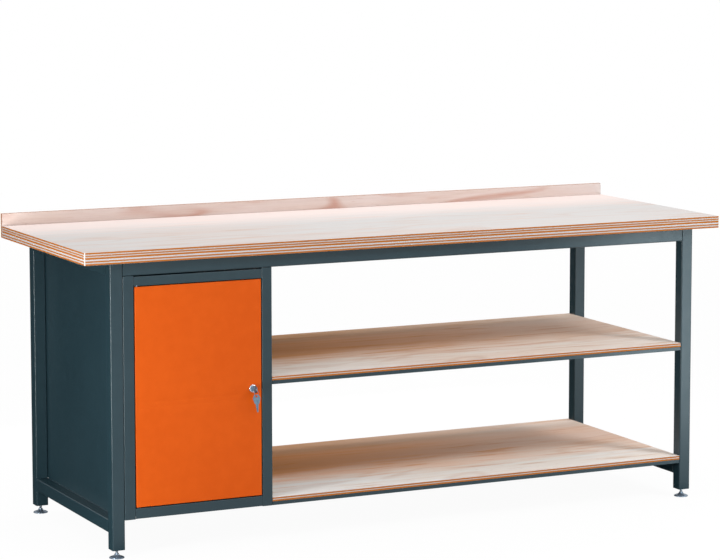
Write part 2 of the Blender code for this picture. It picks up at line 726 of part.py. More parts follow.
def make_door_stiffener(steel):
    """A hat section across the door, behind its face, a little below the lock's height."""
    inner_face = DOOR_FRONT + SHEET + SEAT_GAP
    left = DOOR_LEFT + SHEET + STIFFENER_END_GAP
    length = (DOOR_RIGHT - DOOR_LEFT) * STIFFENER_LENGTH_SHARE
    half = STIFFENER_HEIGHT / 2
    crown = half - STIFFENER_FLANGE
    path = [
        (0.0, half),
        (0.0, crown),
        (STIFFENER_DEPTH, crown),
        (STIFFENER_DEPTH, -crown),
        (0.0, -crown),
        (0.0, -half),
    ]
    section = folded(path)
    place = frame_matrix((left + length / 2, inner_face, LOCK_Z - STIFFENER_DROP), X_AXIS, Y_AXIS)
    add_piece("door_stiffener", outline_mesh([section], length), place, steel)


def make_hinge(zinc, plastic):
    """Pins fixed in the door's upper and lower edge, turning in brackets on the left stile."""
    head_gap = SHEET + SEAT_GAP
    profile = [
        (0.0, PIN_LENGTH),
        (PIN_RADIUS, PIN_LENGTH),
        (PIN_RADIUS, 0.0),
        (PIN_HEAD_RADIUS, 0.0),
        (PIN_HEAD_RADIUS, -PIN_HEAD_HEIGHT),
        (0.0, -PIN_HEAD_HEIGHT),
    ]
    upper_place = frame_matrix((PIVOT_X, PIVOT_Y, DOOR_TOP - head_gap), Z_AXIS, X_AXIS)
    lower_place = frame_matrix((PIVOT_X, PIVOT_Y, DOOR_BOTTOM + head_gap), -Z_AXIS, X_AXIS)
    turned("hinge_pin_upper", profile, upper_place, zinc)
    turned("hinge_pin_lower", profile, lower_place, zinc)

    left = MOUTH_LEFT + SEAT_GAP
    depth_centre = PANEL_FRONT + SHEET + SEAT_GAP + BRACKET_DEPTH / 2
    path = [(0.0, BRACKET_TAB), (0.0, 0.0), (BRACKET_WIDTH, 0.0)]
    section = folded(path, BRACKET_SHEET, BRACKET_BEND)
    upper_z = MOUTH_TOP + BRACKET_DROP
    lower_z = CUPBOARD_FLOOR - SHEET - BEND
    upper = add_piece(
        "hinge_bracket_upper",
        outline_mesh([section], BRACKET_DEPTH),
        frame_matrix((left, depth_centre, upper_z), -Y_AXIS, X_AXIS),
        zinc,
    )
    mirrored = [(u, -v) for u, v in section]
    lower = add_piece(
        "hinge_bracket_lower",
        outline_mesh([mirrored], BRACKET_DEPTH),
        frame_matrix((left, depth_centre, lower_z), -Y_AXIS, X_AXIS),
        zinc,
    )
    reach = BRACKET_SHEET + 2 * CUT_OVERRUN
    upper_start = (PIVOT_X, PIVOT_Y, upper_z - CUT_OVERRUN)
    lower_start = (PIVOT_X, PIVOT_Y, lower_z - BRACKET_SHEET - CUT_OVERRUN)
    cut_hole(upper, "upper_bracket_hole", upper_start, Z_AXIS, reach, BRACKET_HOLE_RADIUS)
    cut_hole(lower, "lower_bracket_hole", lower_start, Z_AXIS, reach, BRACKET_HOLE_RADIUS)

    bush_height = DOOR_GAP - 2 * SEAT_GAP
    bush_place = Matrix.Translation((PIVOT_X, PIVOT_Y, CUPBOARD_FLOOR + SEAT_GAP + bush_height / 2))
    outlines = [circle(BUSH_RADIUS), circle(BRACKET_HOLE_RADIUS)]
    add_piece("hinge_bush", outline_mesh(outlines, bush_height), bush_place, plastic)


def make_lock(chrome, zinc):
    """The lock's housing and nut, and the plug with its cam; heights run outward from the door."""
    face_place = frame_matrix((LOCK_X, DOOR_FRONT, LOCK_Z), -Y_AXIS, X_AXIS)
    housing_profile = [
        (LOCK_BORE_RADIUS, LOCK_PROUD),
        (LOCK_FACE_RADIUS, LOCK_PROUD),
        (LOCK_RIM_RADIUS - LOCK_RIM_EDGE / 2, LOCK_PROUD - LOCK_RIM_EDGE / 2),
        (LOCK_RIM_RADIUS, LOCK_PROUD - 2 * LOCK_RIM_EDGE),
        (LOCK_RIM_RADIUS, SEAT_GAP),
        (LOCK_BARREL_RADIUS, SEAT_GAP),
        (LOCK_BARREL_RADIUS, -LOCK_BARREL_LENGTH),
        (LOCK_BORE_RADIUS, -LOCK_BARREL_LENGTH),
        (LOCK_BORE_RADIUS, LOCK_PROUD),
    ]
    turned("lock_housing", housing_profile, face_place, chrome, RING_STEPS)
    nut_outlines = [hexagon(LOCK_NUT_FLATS), circle(LOCK_BARREL_RADIUS + TURN_GAP, RING_STEPS)]
    nut_centre = SHEET + SEAT_GAP + LOCK_NUT_HEIGHT / 2
    nut_place = frame_matrix((LOCK_X, DOOR_FRONT + nut_centre, LOCK_Z), -Y_AXIS, X_AXIS)
    add_piece("lock_nut", outline_mesh(nut_outlines, LOCK_NUT_HEIGHT), nut_place, zinc)

    plug_radius = LOCK_BORE_RADIUS - TURN_GAP
    plug_face = LOCK_PROUD - PLUG_SINK
    cam_front = LOCK_BARREL_LENGTH + TURN_GAP
    square_end = cam_front + CAM_THICKNESS
    stud_end = square_end + CAM_STUD_LENGTH
    plug_profile = [
        (0.0, plug_face),
        (plug_radius, plug_face),
        (plug_radius, -LOCK_BARREL_LENGTH),
        (CAM_STUD_RADIUS, -LOCK_BARREL_LENGTH),
        (CAM_STUD_RADIUS, -stud_end),
        (0.0, -stud_end),
    ]
    plug = turned("lock_plug", plug_profile, face_place, chrome, RING_STEPS)
    drive = bpy.data.objects.new("plug_square", block_mesh((CAM_SQUARE, square_end, CAM_SQUARE)))
    drive.location = (LOCK_X, DOOR_FRONT + square_end / 2, LOCK_Z)
    apply_boolean(plug, as_cutter(drive), "UNION")
    slot_width = KEY_THICKNESS + 2 * TURN_GAP
    slot_half = KEY_BLADE_ROOT / 2 + TURN_GAP
    slot_low = (LOCK_X - slot_width / 2, LOCK_FRONT - CUT_OVERRUN, LOCK_Z - slot_half)
    slot_high = (LOCK_X + slot_width / 2, KEY_TIP_Y + TURN_GAP, LOCK_Z + slot_half)
    cut_block(plug, "key_slot", slot_low, slot_high)

    cam_half = CAM_WIDTH / 2
    hole = CAM_SQUARE + 2 * TURN_GAP
    cam_outline = rounded(
        [(-cam_half, cam_half), (-cam_half, -CAM_REACH), (cam_half, -CAM_REACH), (cam_half, cam_half)],
        cam_half / 2,
    )
    cam_place = frame_matrix((LOCK_X, DOOR_FRONT + cam_front + CAM_THICKNESS / 2, LOCK_Z), -Y_AXIS, X_AXIS)
    cam_mesh = outline_mesh([cam_outline, rectangle(hole, hole)], CAM_THICKNESS)
    add_piece("lock_cam", cam_mesh, cam_place, zinc)
    cam_nut_outlines = [hexagon(CAM_NUT_FLATS), circle(CAM_STUD_RADIUS + TURN_GAP)]
    cam_nut_y = DOOR_FRONT + square_end + SEAT_GAP + CAM_NUT_HEIGHT / 2
    cam_nut_place = frame_matrix((LOCK_X, cam_nut_y, LOCK_Z), -Y_AXIS, X_AXIS)
    add_piece("cam_nut", outline_mesh(cam_nut_outlines, CAM_NUT_HEIGHT), cam_nut_place, zinc)


def key_outlines():
    """A flat key from its tip at the origin along +X: blade, shoulders, bow and ring hole."""
    tip = KEY_BLADE_TIP / 2
    root = KEY_BLADE_ROOT / 2
    shoulder = KEY_SHOULDER / 2
    widest = KEY_LENGTH - KEY_CROWN
    side = [
        (0.0, -tip),
        (KEY_BLADE_LENGTH, -root),
        (KEY_BLADE_LENGTH, -shoulder),
        (widest, -KEY_BOW / 2),
        (KEY_LENGTH, -KEY_TOP / 2),
    ]
    radii = [tip / 2, 0.0, 0.0, KEY_ROUND, KEY_ROUND]
    outline = side + [(u, -v) for u, v in reversed(side)]
    hole = circle(KEY_HOLE_RADIUS, TURN_STEPS, (KEY_LENGTH - KEY_HOLE_INSET, 0.0))
    return [rounded(outline, radii + radii[::-1]), hole]


def make_keys(metal):
    """The key in the plug, the ring through its bow, and the spare key that hangs from the ring."""
    key_place = frame_matrix((LOCK_X, KEY_TIP_Y, LOCK_Z), X_AXIS, -Y_AXIS)
    add_piece("key", outline_mesh(key_outlines(), KEY_THICKNESS), key_place, metal)

    turn = math.radians(RING_TURN_DEG)
    tangent = Vector((math.cos(turn), math.sin(turn), 0.0))
    pivot = Vector((LOCK_X, KEY_HOLE_Y, RING_PIVOT_Z))
    ring_centre = Vector((LOCK_X, KEY_HOLE_Y, RING_Z))
    bpy.ops.mesh.primitive_torus_add(
        major_segments=RING_STEPS,
        minor_segments=RING_WIRE_STEPS,
        major_radius=RING_RADIUS,
        minor_radius=RING_WIRE_RADIUS,
    )
    torus = bpy.context.object
    ring_mesh = torus.data.copy()
    bpy.data.objects.remove(torus, do_unlink=True)
    lie = frame_matrix(ring_centre, tangent.cross(Z_AXIS), tangent)
    place = Matrix.Translation(pivot)
    ring_mesh.transform(place.inverted() @ lie)
    smooth(ring_mesh)
    add_piece("key_ring", ring_mesh, place, metal)

    side_turn = math.radians(SPARE_KEY_TURN_DEG)
    side = Vector((math.cos(side_turn), math.sin(side_turn), 0.0))
    lean = math.radians(SPARE_KEY_LEAN_DEG)
    down = tangent * math.sin(lean) - Z_AXIS * math.cos(lean)
    hang = KEY_HOLE_RADIUS - RING_WIRE_RADIUS - KEY_HANG_PLAY
    hook = Vector((LOCK_X, KEY_HOLE_Y, RING_BOTTOM_Z))
    spare_mesh = outline_mesh(key_outlines(), KEY_THICKNESS)
    spare_mesh.transform(Matrix.Translation((KEY_HOLE_INSET - KEY_LENGTH - hang, 0.0, 0.0)))
    spare_mesh.transform(frame_matrix((0.0, 0.0, 0.0), down.cross(side), -down))
    add_piece("spare_key", spare_mesh, Matrix.Translation(hook), metal)


def make_shelf(level, tray_bottom, ply, steel):
    """A shallow steel tray, open side down, with its plywood board laid on it."""
    size = (SHELF_RIGHT - SHELF_LEFT, FRAME_REAR - FRAME_FRONT, TRAY_HEIGHT)
    centre = ((SHELF_LEFT + SHELF_RIGHT) / 2, (FRAME_FRONT + FRAME_REAR) / 2, tray_bottom + TRAY_HEIGHT / 2)
    pan(f"{level}_shelf_tray", size, TRAY_LIP, frame_matrix(centre, -Z_AXIS, X_AXIS), steel)
    board_bottom = tray_bottom + TRAY_HEIGHT + SEAT_GAP
    block(
        f"{level}_shelf_board",
        (SHELF_LEFT, FRAME_FRONT, board_bottom),
        (SHELF_RIGHT, FRAME_REAR, board_bottom + BOARD_THICKNESS),
        ply,
        BOARD_EDGE,
        1,
    )


def main():
    ply = new_material("birch_ply", (0.74, 0.66, 0.60), 0.55, 0.0)
    steel = new_material("slate_paint", (0.045, 0.075, 0.090), 0.50, 0.0)
    orange = new_material("orange_paint", (0.74, 0.12, 0.012), 0.45, 0.0)
    zinc = new_material("zinc", (0.52, 0.55, 0.60), 0.35, 1.0)
    chrome = new_material("chrome", (0.62, 0.66, 0.72), 0.22, 1.0)
    key_metal = new_material("key_metal", (0.36, 0.42, 0.47), 0.40, 1.0)
    plastic = new_material("black_plastic", (0.03, 0.03, 0.03), 0.60, 0.0)
    screw_places = long_rail_screws() + side_rail_screws()
    make_worktop(ply, screw_places)
    make_upstand(ply)
    make_frame(steel)
    make_worktop_screws(zinc, screw_places)
    for corner, centre in LEG_CENTRES.items():
        make_foot(corner, centre, zinc, plastic)
    make_cupboard_sides(steel)
    make_cupboard_panels(steel)
    make_inner_shelf(steel, zinc)
    make_door(orange)
    make_door_stiffener(steel)
    make_hinge(zinc, plastic)
    make_lock(chrome, zinc)
    make_keys(key_metal)
    make_shelf("lower", LOWER_TRAY_BOTTOM, ply, steel)
    make_shelf("upper", UPPER_TRAY_BOTTOM, ply, steel)


clear_scene()
PARTS = new_collection("workbench")
CUTTERS = new_collection("workbench_cutters")
main()
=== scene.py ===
"""Looks of a steel-framed workbench with a plywood top, a lockable cupboard and two tray shelves.

Metres, +Z up, X along the bench from the cupboard end, the door faces -Y.
"""

import json
import math

import bmesh
import bpy
from mathutils import Matrix, Vector, noise


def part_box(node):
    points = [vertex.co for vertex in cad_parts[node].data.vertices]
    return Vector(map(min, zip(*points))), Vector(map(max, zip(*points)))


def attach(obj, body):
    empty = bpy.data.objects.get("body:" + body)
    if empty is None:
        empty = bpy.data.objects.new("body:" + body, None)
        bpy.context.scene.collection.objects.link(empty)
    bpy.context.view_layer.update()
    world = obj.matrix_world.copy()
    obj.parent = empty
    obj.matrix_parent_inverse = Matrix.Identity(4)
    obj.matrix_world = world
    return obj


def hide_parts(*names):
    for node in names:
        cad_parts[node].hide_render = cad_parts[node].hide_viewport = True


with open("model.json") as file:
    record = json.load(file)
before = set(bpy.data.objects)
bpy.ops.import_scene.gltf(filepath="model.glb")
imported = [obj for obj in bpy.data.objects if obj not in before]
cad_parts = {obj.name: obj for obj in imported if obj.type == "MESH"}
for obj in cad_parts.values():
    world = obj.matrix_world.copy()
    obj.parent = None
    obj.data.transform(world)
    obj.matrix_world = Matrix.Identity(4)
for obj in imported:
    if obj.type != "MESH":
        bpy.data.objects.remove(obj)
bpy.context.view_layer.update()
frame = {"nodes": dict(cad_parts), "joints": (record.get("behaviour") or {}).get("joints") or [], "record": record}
NODES = frame["nodes"]
BODY_OF = {name: body for body, names in frame["record"]["behaviour"]["bodies"].items() for name in names}

X_AXIS = Vector((1, 0, 0))
Y_AXIS = Vector((0, 1, 0))
Z_AXIS = Vector((0, 0, 1))
TURN = 2 * math.pi
QUARTER = math.pi / 2
CORNERS = ("front_left", "rear_left", "front_right", "rear_right")


def srgb(red, green, blue):
    """A colour from its 0-255 screen values to the linear ones that shaders take."""
    def linear(value):
        share = value / 255
        return share / 12.92 if share <= 0.04045 else ((share + 0.055) / 1.055) ** 2.4
    return (linear(red), linear(green), linear(blue), 1.0)


# Camera
CAMERA_PLACE = (-3.49508, -7.23863, 1.77194)
CAMERA_YAW = 0.45443
CAMERA_PITCH = 0.11
CAMERA_LENS = 138.005
CAMERA_SHIFT = (-0.02616, -0.10)

# Studio
WHITE = (1.0, 1.0, 1.0, 1.0)
FLOOR_HALF = 40.0
FLOOR_FADE = (2.5, 9.0)
FLOOR_GLOW = 0.955
FLOOR_BOUNCE = (0.30, 0.30, 0.30, 1.0)
FLOOR_DULL = (0.92, 0.92, 0.92, 1.0)
FLOOR_PALE = (0.95, 0.95, 0.95, 1.0)
WORLD_BRIGHT_SIDE = (0.0, 0.0, 0.8)
WORLD_RANGE = (-0.7, 0.9)
WORLD_GLOW = (0.0, 0.83)
FLAG_POSTS = ((-2.6, -0.9), (-2.6, 2.4), (1.6, 2.4))
FLAG_HEIGHT = 0.9
FLAG_MAT = ((-2.6, -0.45), (1.1, -0.45), (1.1, 2.4), (-2.6, 2.4))
FLAG_LIFT = 0.0005
FLAG_BLACK = (0.025, 0.025, 0.025, 1.0)
FLAG_WEAVE = (0.035, 0.035, 0.035, 1.0)
STUDIO_ROUGH = 0.9
# Each lamp: its place, the point it aims at, its width and height, its watts and its colour
LAMPS = {
    "key_lamp": ((2.3, -2.6, 2.9), (0.0, -0.2, 0.45), (0.8, 0.8), 50.0, (1.0, 1.0, 1.0)),
    "near_right_lamp": ((1.43, -1.35, 0.36), (0.96, -0.33, 0.40), (0.30, 0.78), 5.8, (0.78, 0.94, 1.0)),
    "left_lamp": ((-2.20, -0.98, 0.42), (-0.95, -0.20, 0.45), (0.22, 0.82), 27.0, (0.98, 1.0, 0.98)),
    "front_lamp": ((0.1, -2.3, 3.0), (0.0, -0.3, 0.2), (2.0, 0.6), 19.0, (1.0, 1.0, 1.0)),
    "low_front_lamp": ((-0.8, -5.5, 2.2), (0.0, 0.0, 0.45), (2.4, 1.2), 8.0, (1.0, 1.0, 1.0)),
    "rear_lamp": ((-0.1, 0.85, 3.0), (-0.1, 0.45, 0.4), (3.0, 0.35), 18.0, (1.0, 1.0, 1.0)),
    "low_rear_lamp": ((0.3, 1.6, 0.42), (0.3, 0.1, 0.12), (1.6, 0.2), 12.0, (1.0, 1.0, 1.0)),
}
HIDDEN_IN_REFLECTIONS = ("rear_lamp", "low_rear_lamp")

# Powder coat, plating and plastic. Each noise: its scale and its detail. The coat's are cloud, mottle, orange
# peel and specks; the plastic's are grain and cloud
COAT_NOISES = ((2.3, 3.0), (36.0, 2.0), (620.0, 1.0), (480.0, 0.0))
COAT_TONES = (0.32, 0.68)
SPECK_RANGE = (0.74, 0.80)
SPECK_SHARE = 0.25
METAL_TONES = (0.35, 0.65)
METAL_CLOUD = (130.0, 2.0)
BRUSH_SCALE = 900.0
BRUSH_STRETCH = (1.0, 1.0, 0.08)
PLASTIC_NOISES = ((1500.0, 2.0), (40.0, 2.0))

# Wood faces. Each noise: its stretch along and across the grain, then its scale, detail, roughness and swirl
WOOD_NOISE = {
    "flow": ((0.55, 2.6), (1.7, 2.0, 0.45, 0.35)),
    "patch": ((0.55, 2.6), (4.1, 1.0)),
    "fibre": ((4.0, 130.0), (3.0, 3.0, 0.6)),
    "streak": ((2.2, 24.0), (1.6, 3.0, 0.55, 0.25)),
    "dash": ((9.0, 80.0), (3.1, 1.0)),
    "tone": ((0.7, 2.2), (1.9, 2.0)),
}
WOOD_RANGES = {
    "line": (0.62, 1.0), "patch": (0.38, 0.62), "tone": (0.40, 0.62), "streak": (0.57, 0.72),
    "dash": (0.70, 0.80), "fibre": (0.35, 0.70),
}
FIGURE_LEVEL = 0.3
YEAR_RINGS = 17.0
FIBRE_SHARE = 0.10
STREAK_SWING = 0.16
# Painted light on the worktop: its back is painted paler and pinker
TOP_BACK_PAINTED_LIGHT = srgb(243, 226, 221)
TOP_BACK_LIGHT_SHARE = 0.75
TOP_BACK_LIGHT_RANGE = (-0.02, 0.28)
# Painted shade on the shelf boards: browner towards the back and the cupboard, greyer along the very back
SHELF_SHADE_SHARE = 0.88
SHELF_SHADE_RANGE = (-0.25, 0.03)
SHELF_SHADE_ALONG = (-0.5, 1.05, 1.0, 0.34)
SHELF_CLOUD_SWING = 0.18
SHELF_SHADE_RIM = srgb(152, 118, 80)
SHELF_SHADE_RIM_SHARE = 0.6
SHELF_SHADE_RIM_RANGE = (0.15, 0.28)

# Plies: each has its start and end as shares of the thickness from the top face down, and its colour
EDGE_ORANGE = srgb(186, 110, 40)
EDGE_DEEP = srgb(184, 106, 38)
EDGE_PALE = srgb(198, 192, 190)
EDGE_WHITE = srgb(206, 204, 206)
EDGE_DARK = srgb(104, 58, 44)
TOP_PLIES = [
    (0.0, 0.015, EDGE_WHITE), (0.015, 0.13, EDGE_ORANGE), (0.13, 0.225, EDGE_PALE),
    (0.225, 0.315, EDGE_ORANGE), (0.315, 0.40, EDGE_PALE), (0.40, 0.535, EDGE_ORANGE),
    (0.535, 0.665, EDGE_WHITE), (0.665, 0.765, EDGE_ORANGE), (0.765, 0.875, EDGE_PALE),
    (0.875, 0.985, EDGE_DEEP), (0.985, 1.0, EDGE_PALE),
]
SHELF_PLIES = [
    (0.0, 0.09, EDGE_WHITE), (0.09, 0.41, EDGE_ORANGE), (0.41, 0.62, EDGE_PALE), (0.62, 0.97, EDGE_ORANGE),
    (0.97, 1.0, EDGE_PALE),
]
# Each noise: its stretch along the edge and down it and its level, then its scale, detail and roughness
PLY_NOISE = {
    "wander": ((7.0, 2.0, 0.0), (2.6, 2.0)),
    "cells": ((520.0, 30.0, 0.0), (1.0, 2.0, 0.65)),
    "long_grain": ((16.0, 46.0, 0.0), (1.0, 3.0, 0.6)),
    "knots": ((60.0, 16.0, 2.0), (1.0, 1.0)),
}
PLY_WANDER = 0.014
PLY_BLEND = 0.007
GRAIN_RANGE = (0.45, 0.72)
KNOT_RANGE = (0.68, 0.76)
GLUE_LINE = srgb(158, 98, 58)
# Painted highlight down the worktop's upright front-left corner
ARRIS_HIGHLIGHT = srgb(226, 221, 219)
ARRIS_HIGHLIGHT_REACH = (0.0020, 0.0032)
ARRIS_HIGHLIGHT_SHARE = 0.9

# Worktop, upstand and shelf boards
BOARD_STEP = 0.02
CORNER_STEPS = 4
ARRIS_STEPS = 3
PLY_RELIEF = 0.00012
PLY_JUMP = 0.00015
PLY_WAVE = 0.00022
PLY_WAVE_SCALE = 9.0
PLY_WAVE_DROP = 3.0
TOP_ARRIS = 0.0010
TOP_CORNER = 0.0022
THIN_ARRIS = 0.0006
THIN_CORNER = 0.0010

# Door
DOOR_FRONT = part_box("door_panel")[0].y
DOOR_BEND = 0.0012
DOOR_SHEET = 0.0012
DOOR_LIP = 0.0120
BEND_STEPS = 4
LOCK_HOLE_RADIUS = 0.0097
LOCK_HOLE_REACH = 0.004
LOCK_HOLE_STEPS = 48
SWAGE_HEIGHTS = (0.411, 0.425)
SWAGE_HALF = 0.0022
SWAGE_DEPTH = 0.00018
SWAGE_ROWS = (-1.5, -1.0, -0.5, 0.0, 0.5, 1.0, 1.5)
SWAGE_COLUMNS = 8
SWAGE_MARGIN = 0.004
SWAGE_FADE = 0.012
SWAGE_END_INSET = 0.045

# Threads and welds
END_CLOSE = 0.000005
THREAD_SIZES = {"Radius": 0.004, "Depth": 0.0006, "Pitch": 0.00125, "Length": 0.05, "Rows": 300, "Sides": 24}
THREAD_ROWS = 6
WELD_SIZES = {"Spacing": 0.0013, "Radius": 0.0015, "Spread": 0.18, "Seed": 5}
WELD_RIPPLE = {"Segments": 8, "Rings": 5, "Radius": 1.0}
WELD_INSET = 0.003
SEAM_INSET = 0.0005
# Each welded rail end: the rail, the axis it runs along, whether it is the high end, and the side that is
# welded too: 1 for the high side, -1 for the low side, None for neither
RAIL_WELDS = (
    ("top_rail_front", 0, True, 1), ("top_rail_rear", 0, True, -1),
    ("top_rail_right", 1, False, -1), ("top_rail_right", 1, True, -1),
    ("low_rail_right", 1, False, -1), ("low_rail_right", 1, True, -1),
    ("low_rail_left", 1, False, None), ("low_rail_left", 1, True, None),
)

# Feet. The flare: shares of the radius and their heights; the rim: insets from it and their heights
PAD_SOCKET = 0.0035
PAD_SOCKET_RADIUS = 0.0043
PAD_FLARE = ((0.985, 0.0021), (0.86, 0.0037), (0.62, 0.0053), (0.42, 0.0075), (0.31, 0.0099))
PAD_NECK_SHARE = 0.265
PAD_RIM = ((0.0006, 0.0), (0.0001, 0.0004), (0.0, 0.0010))
FLARE_STEPS = 5
PAD_STEPS = 72

# Lock
LOCK_BORE = 0.0070
LOCK_CHAMFER = 0.0005
LOCK_STEPS = 96
DOME_SHARE = 0.55
DOME_WIDTH = 0.0022
DOME_STEPS = 8
COLLAR_EDGE = 0.0003
BARREL_RADIUS = 0.0094
BARREL_PITCH = 0.0010
BARREL_START = 0.0014
BARREL_GROOVE = 0.00035
BARREL_PLAIN = 0.0006

# Keys. The outline's points: the distance from the tip and the half width there
KEY_LONG = 0.050
KEY_BLADE = 0.024
KEY_THICK = 0.0020
KEY_SOFT = 0.0002
KEY_HOLE = 0.0033
KEY_HOLE_PLACE = 0.005
KEY_HOLE_STEPS = 40
KEY_TIP = [(0.0, 0.0011), (0.0005, 0.0017), (0.0013, 0.00213)]
KEY_CUTS = (0.0004, 0.0007, 0.0003, 0.0008, 0.0005, 0.0009)
KEY_CUT_START = 0.0030
KEY_CUT_PITCH = 0.0030
KEY_CUT_SHAPE = ((0.15, 0.0), (0.40, 1.0), (0.62, 1.0), (0.88, 0.0))
BLADE_HALF = 0.0020
BLADE_SPREAD = 0.0024
KEY_SHOULDER = [(KEY_BLADE, 0.0044), (KEY_BLADE, 0.0062), (KEY_BLADE + 0.0003, 0.0065)]
KEY_BOW = [(0.0384, 0.01044), (0.0393, 0.01058), (0.0402, 0.01052), (0.0411, 0.01018),
           (0.0484, 0.00662), (0.0492, 0.0061), (0.0498, 0.0053), (0.0500, 0.0045)]
GROOVE_START = 0.0015
GROOVE_END = 0.0270
GROOVE_WIDTH = 0.0014
GROOVE_DEPTH = 0.0004
RING_WIRE = 0.0006
RING_STEPS = 72
WIRE_STEPS = 12
SPARE_TURN_DEG = -23.5
SPARE_LEAN_DEG = 6.0
SPARE_HANG = 0.0014

# Edges of the plain pieces
TUBE_EDGE = 0.0004
SHEET_EDGE = 0.00025
SMALL_EDGE = 0.0003
PLUG_EDGE = 0.0002
EDGE_SEGMENTS = 2
SMOOTH_ANGLE = math.radians(32)
FLAT_ANGLE = math.radians(0.5)
JOIN_DISTANCE = 0.000002
TOUCH = 0.000001
SLACK = 0.0001


class Signal:
    """One output of a node tree; arithmetic on it adds the Math nodes."""

    def __init__(self, net, socket):
        self.net = net
        self.socket = socket

    def __add__(self, other):
        return self.net.math("ADD", self, other)

    def __sub__(self, other):
        return self.net.math("SUBTRACT", self, other)

    def __mul__(self, other):
        return self.net.math("MULTIPLY", self, other)

    def __truediv__(self, other):
        return self.net.math("DIVIDE", self, other)

    def __pow__(self, other):
        return self.net.math("POWER", self, other)

    def __rsub__(self, other):
        return self.net.math("SUBTRACT", other, self)

    __radd__ = __add__


class Net:
    """A node tree that is written as calls."""

    def __init__(self, tree):
        self.tree = tree

    def node(self, kind, settings=None, sockets=None, output=0):
        """Adds a node: its settings first, then a value or a link for each socket."""
        node = self.tree.nodes.new(kind)
        for key, value in (settings or {}).items():
            if key == "stops":
                self.set_stops(node.color_ramp, value)
            else:
                setattr(node, key, value)
        for key, value in (sockets or {}).items():
            self.feed(node.inputs[key], value)
        return Signal(self, node.outputs[output])

    def feed(self, socket, value):
        if isinstance(value, Signal):
            self.tree.links.new(value.socket, socket)
        else:
            socket.default_value = value

    def set_stops(self, ramp, stops):
        while len(ramp.elements) < len(stops):
            ramp.elements.new(1.0)
        for element, (position, colour) in zip(ramp.elements, stops):
            element.position = position
            element.color = colour

    def math(self, operation, *values):
        return self.node("ShaderNodeMath", {"operation": operation}, dict(enumerate(values)))

    def vector(self, x, y, z):
        return self.node("ShaderNodeCombineXYZ", None, {0: x, 1: y, 2: z})

    def split(self, vector):
        return [self.node("ShaderNodeSeparateXYZ", None, {0: vector}, axis) for axis in range(3)]

    def smooth_step(self, value, low, high, start=0.0, end=1.0):
        settings = {"interpolation_type": "SMOOTHSTEP", "clamp": True}
        return self.node("ShaderNodeMapRange", settings, {0: value, 1: low, 2: high, 3: start, 4: end})

    def mix(self, factor, first, second, mode="MIX"):
        settings = {"data_type": "RGBA", "blend_type": mode}
        return self.node("ShaderNodeMix", settings, {0: factor, 6: first, 7: second}, 2)

    def noise(self, vector, scale, detail=2.0, rough=0.5, distortion=0.0):
        sockets = {"Vector": vector, "Scale": scale, "Detail": detail, "Roughness": rough,
                   "Distortion": distortion}
        return self.node("ShaderNodeTexNoise", None, sockets)


class Finish(Net):
    """A material on the Principled shader."""

    def __init__(self, name, metallic=0.0, specular=0.5):
        self.material = bpy.data.materials.new(name)
        self.material.use_nodes = True
        super().__init__(self.material.node_tree)
        self.shader = self.tree.nodes["Principled BSDF"]
        self.shader.inputs["Metallic"].default_value = metallic
        self.shader.inputs["Specular IOR Level"].default_value = specular
        self.point = self.node("ShaderNodeTexCoord", output="Object")

    def surface(self, colour, roughness, height=None, distance=0.0001, strength=0.3):
        self.feed(self.shader.inputs["Base Color"], colour)
        self.feed(self.shader.inputs["Roughness"], roughness)
        if height is not None:
            sockets = {"Strength": strength, "Distance": distance, "Height": height}
            self.feed(self.shader.inputs["Normal"], self.node("ShaderNodeBump", None, sockets))
        return self.material


class Recipe(Net):
    """A geometry tree with named sizes, which ends in real mesh with one material."""

    def __init__(self, name, sizes):
        tree = bpy.data.node_groups.new(name, "GeometryNodeTree")
        super().__init__(tree)
        tree.interface.new_socket("Geometry", in_out="INPUT", socket_type="NodeSocketGeometry")
        self.keys = {}
        for label, value in sizes.items():
            kind = "NodeSocketInt" if isinstance(value, int) else "NodeSocketFloat"
            socket = tree.interface.new_socket(label, in_out="INPUT", socket_type=kind)
            socket.default_value = value
            self.keys[label] = socket.identifier
        socket = tree.interface.new_socket("Material", in_out="INPUT", socket_type="NodeSocketMaterial")
        self.keys["Material"] = socket.identifier
        tree.interface.new_socket("Geometry", in_out="OUTPUT", socket_type="NodeSocketGeometry")
        self.given = tree.nodes.new("NodeGroupInput")

    def size(self, label):
        return Signal(self, self.given.outputs[label])

    def end(self, geometry):
        geometry = self.node("GeometryNodeSetShadeSmooth", None, {"Geometry": geometry})
        real = self.node("GeometryNodeRealizeInstances", None, {"Geometry": geometry})
        sockets = {"Geometry": real, "Material": self.size("Material")}
        finished = self.node("GeometryNodeSetMaterial", None, sockets)
        self.feed(self.tree.nodes.new("NodeGroupOutput").inputs[0], finished)

    def make(self, name, mesh, material, sizes):
        """The recipe worked on a mesh with these sizes, as a plain piece."""
        piece = object_from(name, mesh)
        modifier = piece.modifiers.new("recipe", "NODES")
        modifier.node_group = self.tree
        for label, value in {**sizes, "Material": material}.items():
            modifier[self.keys[label]] = value
        return finished_mesh(piece)


def powder_coat(name, speck_colour, dark, light, specular, rough):
    """A baked powder coat: a fine orange peel, a slight unevenness of tone and a few specks."""
    coat = Finish(name, specular=specular)
    cloud, mottle, peel, speck = (coat.noise(coat.point, *settings) for settings in COAT_NOISES)
    body = coat.mix(coat.smooth_step(cloud * 0.6 + mottle * 0.4, *COAT_TONES), dark, light)
    body = coat.mix(coat.smooth_step(speck, *SPECK_RANGE) * SPECK_SHARE, body, speck_colour)
    return coat.surface(body, rough + (mottle - 0.5) * 0.12, peel + mottle * 0.3, 0.00012, 0.35)


